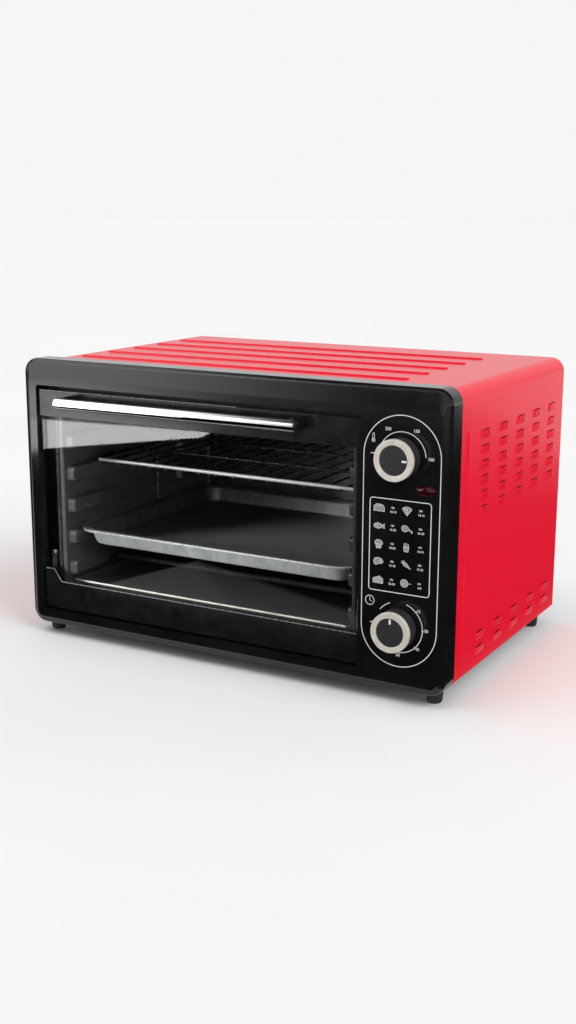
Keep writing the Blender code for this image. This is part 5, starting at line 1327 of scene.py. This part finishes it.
def makeCrumbTray():
    low, top, edge = crumb["low"], crumb["top"], crumb["edge"]
    section = eased([(crumb["floor"], low), (crumb["lip"], low),
                     (crumb["lip"], top - crumb["lean"]), (edge, top),
                     (edge, top - crumb["lipDrop"])], crumb["rounding"], 3, False)
    pan = panPiece("crumbTray", crumb["front"], crumb["back"], section,
                   lambda inset: crumb["corner"], crumb["sheet"])
    dressed(pan, "crumb", "dark_tray_steel", trayMetal, "crumb_tray", smooth=50)
    # rolled front edge, made bright as a painted highlight
    ends = [(x, crumb["front"] + crumb["rollIn"], top - crumb["rollLow"]) for x in (
        tray["left"] + crumb["corner"], tray["right"] - crumb["corner"])]
    dressed(pipe("crumbLip", ends, crumb["roll"]), "crumb", "dark_tray_steel", crumbLipHighlight)


makeRack()
makeTray()
makeCrumbTray()
print("shelf parts ready")


# Door: folded strips, glass, hinges, stays and handle

door = {
    "left": -0.2308, "right": 0.1568, "back": 0.0103, "lowTop": 0.0508, "top": 0.2638,
    "hem": 0.0008, "hemY": 0.0036, "hemIn": 0.0008, "hemLow": 0.0006, "topHemEnd": 0.02,
    "stepRise": 0.0135, "stepEnd": 0.012, "stepRun": 0.0098,
    "topEdge": 0.0004, "lowEdge": 0.0005, "glassEdge": 0.0005, "hingeEdge": 0.0003,
}
stay = {
    "radius": 0.055, "width": 0.005, "foot": 0.014, "footWidth": 0.003, "edge": 0.00025,
    "outerTurn": (5, 106), "innerTurn": (106, 16), "rivetY": 0.0162, "rivet": 0.0023,
    "rivetRise": 0.0011, "rivetSunk": 0.0005,
}
barMiddle, barSize = placed("handle_bar")
handle = {
    "x": barMiddle.x, "y": barMiddle.y, "z": barMiddle.z, "half": barSize.x / 2,
    "radius": barSize.z / 2,
    "rounding": 0.0014, "postLeft": -0.1848, "postRight": 0.0922, "postRadius": 0.0065,
    "postLength": 0.0167, "postRounding": 0.0006, "recess": 0.003, "gap": 0.0003,
    "saddleReach": 0.02, "bore": 0.0023, "boreReach": 0.005,
    "seatY": 0.0106, "shank": 0.002, "head": 0.004,
    "crown": ((0, 0.0022), (0.0022, 0.0022), (0.0034, 0.0016), (0.004, 0.0006)),
    "crossReach": 0.0019, "crossHalf": 0.00035, "crossY": 0.0116, "crossEnd": 0.02,
}


def doorPiece(node, name, surface, slotName, *edges, smooth=38):
    piece = withEdges(copied(node, name), *edges)
    dressed(piece, "door", slotName, surface, node, smooth=smooth)


def makeStrips():
    coat, steel = "black_coated_steel", "galvanised_steel"
    doorPiece("door_top_strip", "doorTopStrip", stripBlack, coat, door["topEdge"], 2, 40)
    doorPiece("door_bottom_strip", "doorBottomStrip", stripBlack, coat, door["lowEdge"], 3, 40)
    # painted highlights: bright hems along the strips' upper edges, the top one stopping short
    # of the right end
    leftX, rightX = door["left"] + door["hemIn"], door["right"] - door["hemIn"]
    highZ, topZ = door["top"] - door["hemLow"], door["lowTop"] - door["hemLow"]
    stepX, stepZ = door["left"] + door["stepEnd"], topZ + door["stepRise"]
    for name, line in (
        ("topHem", ((leftX, highZ), (door["topHemEnd"], highZ))),
        ("stripHem", ((leftX, stepZ), (stepX, stepZ), (stepX + door["stepRun"], topZ),
                      (rightX, topZ))),
    ):
        hem = pipe(name, [(x, door["hemY"], z) for x, z in line], door["hem"])
        dressed(hem, "door", coat, hemHighlight)
    doorPiece("door_glass", "doorGlass", clearGlass, "door_glass", door["glassEdge"], 2, 40,
              smooth=15)
    for side in ("left", "right"):
        doorPiece("door_hinge_" + side, "doorHinge_" + side, steelBright, steel,
                  door["hingeEdge"])


def hingeArc(radius, first, last, steps):
    return [(bezel["pinY"] + radius * math.sin(angle), bezel["pinZ"] + radius * math.cos(angle))
            for angle in angles(first, last, steps)]


def makeStays():
    half, low = stay["width"] / 2, bezel["pinZ"] + stay["foot"]
    outline = ([(door["back"], low)] + hingeArc(stay["radius"] + half, *stay["outerTurn"], 44)
               + hingeArc(stay["radius"] - half, *stay["innerTurn"], 40)
               + [(door["back"] + stay["footWidth"], low)])
    radius, across = stay["rivet"], stay["rivetY"] - bezel["pinY"]
    height = bezel["pinZ"] + math.sqrt(stay["radius"] ** 2 - across ** 2)
    profile = [(0, -stay["rivetSunk"]), (radius, -stay["rivetSunk"])] + [
        (radius * math.cos(angle), stay["rivetRise"] * math.sin(angle))
        for angle in angles(0, 90, 6)]
    for side, inward in (("left", 1), ("right", -1)):
        first, last = sorted(point.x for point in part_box("door_stay_" + side))
        piece = newPiece("doorStay_" + side, extruded(outline, facingSide, first, last))
        dressed(withEdges(piece, stay["edge"], 2, 60), "door", "galvanised_steel",
                steelBright, "door_stay_" + side)
        # domed rivet on the inner face, in front of the flange
        place = (last if inward > 0 else first, stay["rivetY"], height)
        rivet = turned(profile, place, (inward, 0, 0), 28)
        dressed(newPiece("stayRivet_" + side, rivet), "door", "galvanised_steel", nickelAndHighlightWire)


def makePost(side, x):
    y, z, gap = handle["y"], handle["z"], handle["gap"]
    reach, length = handle["postRadius"], handle["postLength"]
    profile = eased([(0, 0), (reach, 0), (reach, length), (0, length)],
                    handle["postRounding"], 3, False)
    post = newPiece("handlePost_" + side, turned(profile, (x, handle["recess"] - gap, z),
                                                 (0, -1, 0), 48))
    saddle = handle["saddleReach"]
    cutBy(post, rod((x - saddle, y, z), (x + saddle, y, z), handle["radius"] + gap, 64))
    cutBy(post, rod((x, handle["boreReach"], z), (x, -handle["boreReach"], z),
                    handle["bore"]))
    dressed(post, "door", "black_plastic", glossBlack, "handle_post_" + side)


def makeHandleScrew(side, x):
    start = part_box("handle_screw_" + side)[0].y - bodyPlace.y
    seat, shank = handle["seatY"] - start, handle["shank"]
    profile = [(radius, seat + rise) for radius, rise in handle["crown"]]
    profile += [(handle["head"], seat), (shank, seat), (shank, 0), (0, 0)]
    piece = newPiece("handleScrew_" + side, turned(profile, (x, start, handle["z"]),
                                                   (0, 1, 0), 32))
    crossCut(piece, x, handle["z"], handle["crossY"], handle["crossEnd"],
             handle["crossReach"], handle["crossHalf"])
    dressed(piece, "door", "galvanised_steel", steelBright, "handle_screw_" + side)


def makeHandle():
    half, radius = handle["half"], handle["radius"]
    place = (handle["x"], handle["y"], handle["z"])
    profile = eased([(0, -half), (radius, -half), (radius, half), (0, half)],
                    handle["rounding"], 5, False)
    bar = newPiece("handleBar", turned(profile, place, (1, 0, 0), 64))
    dressed(bar, "door", "chrome", chromeWire, "handle_bar")
    for side in ("left", "right"):
        x = handle["post" + side.capitalize()]
        makePost(side, x)
        makeHandleScrew(side, x)


makeStrips()
makeStays()
makeHandle()
print("door ready")


# Nodes behind the bezel keep their solids and get a finish

innerFinishes = {
    "control_plate": galvanised, "thermostat_body": ceramic, "timer_body": galvanised,
    "timer_bell": brassSheet, "power_lamp_holder": ceramic, "terminal_block": ceramic,
    "temperature_shaft": steelBright, "timer_shaft": steelBright,
}
for node, surface in innerFinishes.items():
    slots = nodes[node].data.materials
    slots.clear()
    slots.append(surface)
print("inner parts finished")


# Stage: floor, light, reflections and camera

look = {
    "place": (0.702916, -1.261816, 0.473452), "lens": 46.54, "sensor": 36.0, "yaw": 0.513,
    "pitch": -0.230, "roll": -0.003, "glassY": 0.0045,
}
stage = {
    "backdrop": 0.918, "sky": 0.58, "floor": 0.84, "floorGrain": 0.015, "reach": 30.0,
    "sunk": 0.0002, "keyPower": 1.45, "keyPlace": (2.0, -0.5, 1.7), "topPower": 0.80,
    "topPlace": (-0.5, -0.6, 2.5), "softness": 40,
}
# Spots into the cavity, each for its own pieces alone
spotLamps = {
    "nearLamp": {
        "place": (-0.19, -0.45, 0.125), "aim": (-0.085, -0.12, 0.125), "power": 3.8,
        "cone": 120, "blend": 0.1, "radius": 0.02,
        "pieces": ("cavityLeft", "cavityLeftFlangeBead", "cavityLeftSeam",
                   "stayRivet_left", "cavityLeftCornerSeam", "rackFrontHighlight"),
    },
    "trayLamp": {
        "place": (0.0, -0.57, 0.10), "aim": (0.0, -0.12, 0.11), "power": 16.0,
        "cone": 42, "blend": 1.0, "radius": 0.03,
        "pieces": ("bakingTray", "trayRim", "crumbLip", "rackFrontHighlight"),
    },
    "farLamp": {
        "place": (-0.98, -1.0, 0.32), "aim": (0.12, 0.15, 0.14), "power": 560.0,
        "cone": 30, "blend": 0.5, "radius": 0.2,
        "pieces": ("cavityBack", "bakingTray", "cornerSeams", "crumbLip"),
    },
}
# Dark cards that lie flat: x and y of each corner, and height
darkCards = {
    "darkFloor": (((-6.0, -1.9), (0.34, -1.9), (0.34, -0.185), (-6.0, -0.185)), 0.001),
    "darkRight": (((0.34, -1.9), (6.0, -1.9), (6.0, 8.0), (0.34, 0.9)), 0.001),
    "darkBeside": (((0.262, -0.185), (0.36, -0.185), (0.36, 0.9), (0.262, 0.9)), 0.002),
    "darkCeiling": (((-7.0, -0.9), (5.0, -0.9), (5.0, 9.0), (-7.0, 9.0)), 2.4),
}
# Upright bright cards: left, right, y, low, high, brightness, and where the light fades
brightCards = {
    "backGlow": (-5.0, 1.6, 3.4, 0.5, 2.3, 0.95, None),
    "highGlow": (-2.4, -0.5, -2.1, 1.05, 1.85, 14.0, (-1.45, -0.90)),
    "frontGlow": (-2.6, -0.3, -1.95, 0.03, 1.6, 2.4, (-1.5, -0.6)),
}
overheadCard = {
    "corners": ((-3.0, -2.1, 2.3), (-0.9, -2.1, 2.3), (-0.9, 0.8, 2.3), (-3.0, 0.8, 2.3)),
    "brightness": 2.0, "fade": (-1.7, -1.0),
}
# Cards mirrored in the pane: x and z on the pane, distance, brightness, fade
paneCards = {
    "stripGlow": (((-0.28, 0.2352), (0.12, 0.2352), (0.12, 0.2660), (-0.28, 0.2660)), 0.8,
                  8.0, (-0.90, -0.40)),
    "windowGleam": (((-0.262, 0.2298), (-0.0136, 0.2348), (-0.0245, 0.2284),
                     (-0.262, 0.1932)), 0.12, 5.6, None),
    "floorGleam": (((-0.0326, 0.0970), (0.0190, 0.0480), (-0.17, 0.048)), 0.08, 0.3584,
                   None),
    "dimGleam": (((-0.0326, 0.0970), (0.1558, 0.0682), (0.1560, 0.046), (-0.02, 0.046)),
                 0.085, 0.224, None),
}


def stageMaterial(name, brightness, fade):
    # Plain light, or one that fades from the first x to the second.
    made = bpy.data.materials.new(name)
    made.use_nodes = True
    tree = made.node_tree
    tree.nodes.clear()
    light = tree.nodes.new("ShaderNodeEmission")
    light.inputs["Strength"].default_value = brightness
    out = tree.nodes.new("ShaderNodeOutputMaterial")
    wired(tree, (light, "Emission", out, "Surface"))
    if fade:
        spots = tree.nodes.new("ShaderNodeTexCoord")
        split = tree.nodes.new("ShaderNodeSeparateXYZ")
        spread = tree.nodes.new("ShaderNodeMapRange")
        spread.interpolation_type = "SMOOTHSTEP"
        setRange(spread, (brightness, 0.0), fade)
        wired(tree, (spots, "Object", split, "Vector"), (split, "X", spread, "Value"),
              (spread, "Result", light, "Strength"))
    return made


def flatCard(name, corners, surface, place=(0, 0, 0)):
    shape = bmesh.new()
    shape.faces.new([shape.verts.new(corner) for corner in corners])
    card = newPiece(name, shape, Vector(place))
    card.data.materials.append(surface)
    return card


def reflectedCard(name, corners, brightness=0.0, fade=None):
    # A card that only mirrors see.
    card = flatCard(name, corners, stageMaterial(name, brightness, fade))
    card.visible_camera = False
    card.visible_diffuse = False
    card.visible_transmission = False
    card.visible_volume_scatter = False
    card.visible_shadow = False


def inFrontOfGlass(x, z, distance):
    # Where a card's corner goes, so that the camera sees it mirrored at (x, z) of the pane.
    paneY = bodyPlace.y + look["glassY"]
    eye = Vector(look["place"])
    mirrored = Vector((eye.x, 2 * paneY - eye.y, eye.z))
    spot = Vector((x, paneY, z + bodyPlace.z))
    along = spot - mirrored
    return spot + along * (distance / abs(along.y))


def makeCards():
    for name, (corners, z) in darkCards.items():
        reflectedCard(name, [(x, y, z) for x, y in corners])
    for name, (left, right, y, low, high, brightness, fade) in brightCards.items():
        reflectedCard(name, ((left, y, low), (right, y, low), (right, y, high),
                             (left, y, high)), brightness, fade)
    reflectedCard("overheadGlow", overheadCard["corners"], overheadCard["brightness"],
                  overheadCard["fade"])
    for name, (corners, distance, brightness, fade) in paneCards.items():
        reflectedCard(name, [inFrontOfGlass(x, z, distance) for x, z in corners],
                      brightness, fade)


def makeWorld():
    world = bpy.data.worlds.new("pale studio")
    bpy.context.scene.world = world
    world.use_nodes = True
    tree = world.node_tree
    sky = tree.nodes["Background"]
    sky.inputs["Color"].default_value = (1, 1, 1, 1)
    path = tree.nodes.new("ShaderNodeLightPath")
    level = tree.nodes.new("ShaderNodeMapRange")
    setRange(level, (stage["sky"], stage["backdrop"]))
    wired(tree, (path, "Is Camera Ray", level, "Value"), (level, "Result", sky, "Strength"))


def makeFloor():
    level, reach = stage["floor"], stage["reach"]
    pale = finish("pale floor", ((level,) * 3, (level + stage["floorGrain"],) * 3),
                  (0.8, 0.95), scale=3.0, Specular_IOR_Level=0.05)
    flatCard("floor", ((-reach, -reach, 0), (reach, -reach, 0), (reach, reach, 0),
                       (-reach, reach, 0)), pale, (0, 0, -stage["sunk"]))


def addLamp(name, kind, place, aim, power, **facts):
    data = bpy.data.lights.new(name, kind)
    data.energy = power
    for key, value in facts.items():
        setattr(data, key, value)
    lampObject = linked(name, data)
    lampObject.location = place
    lampObject.visible_camera = False
    lampObject.visible_glossy = False
    lampObject.rotation_euler = (Vector(aim) - Vector(place)).to_track_quat(
        "-Z", "Y").to_euler()
    return lampObject


def lightOnly(lampObject, pieces):
    # The lamp shines on these pieces alone.
    group = bpy.data.collections.new(lampObject.name + " pieces")
    for name in pieces:
        group.objects.link(bpy.data.objects[name])
    lampObject.light_linking.receiver_collection = group


def makeLamps():
    soft = math.radians(stage["softness"])
    for name in ("key", "top"):
        addLamp(name + "Sun", "SUN", stage[name + "Place"], (0, 0, 0),
                stage[name + "Power"], angle=soft)
    for name, facts in spotLamps.items():
        spot = addLamp(name, "SPOT", facts["place"], facts["aim"], facts["power"],
                       spot_size=math.radians(facts["cone"]), spot_blend=facts["blend"],
                       shadow_soft_size=facts["radius"])
        lightOnly(spot, facts["pieces"])


def makeCamera():
    data = bpy.data.cameras.new("photoCamera")
    data.lens = look["lens"]
    data.sensor_width = look["sensor"]
    data.sensor_fit = "AUTO"
    camera = linked("photoCamera", data)
    turn = (Matrix.Rotation(look["yaw"], 4, "Z") @ Matrix.Rotation(look["pitch"], 4, "X")
            @ Matrix.Rotation(look["roll"], 4, "Y")
            @ Matrix.Rotation(math.radians(90), 4, "X"))
    camera.matrix_world = Matrix.Translation(look["place"]) @ turn
    bpy.context.scene.camera = camera
    bpy.context.scene.view_settings.view_transform = "Standard"


makeWorld()
makeFloor()
makeCards()
makeLamps()
makeCamera()
print("stage ready")
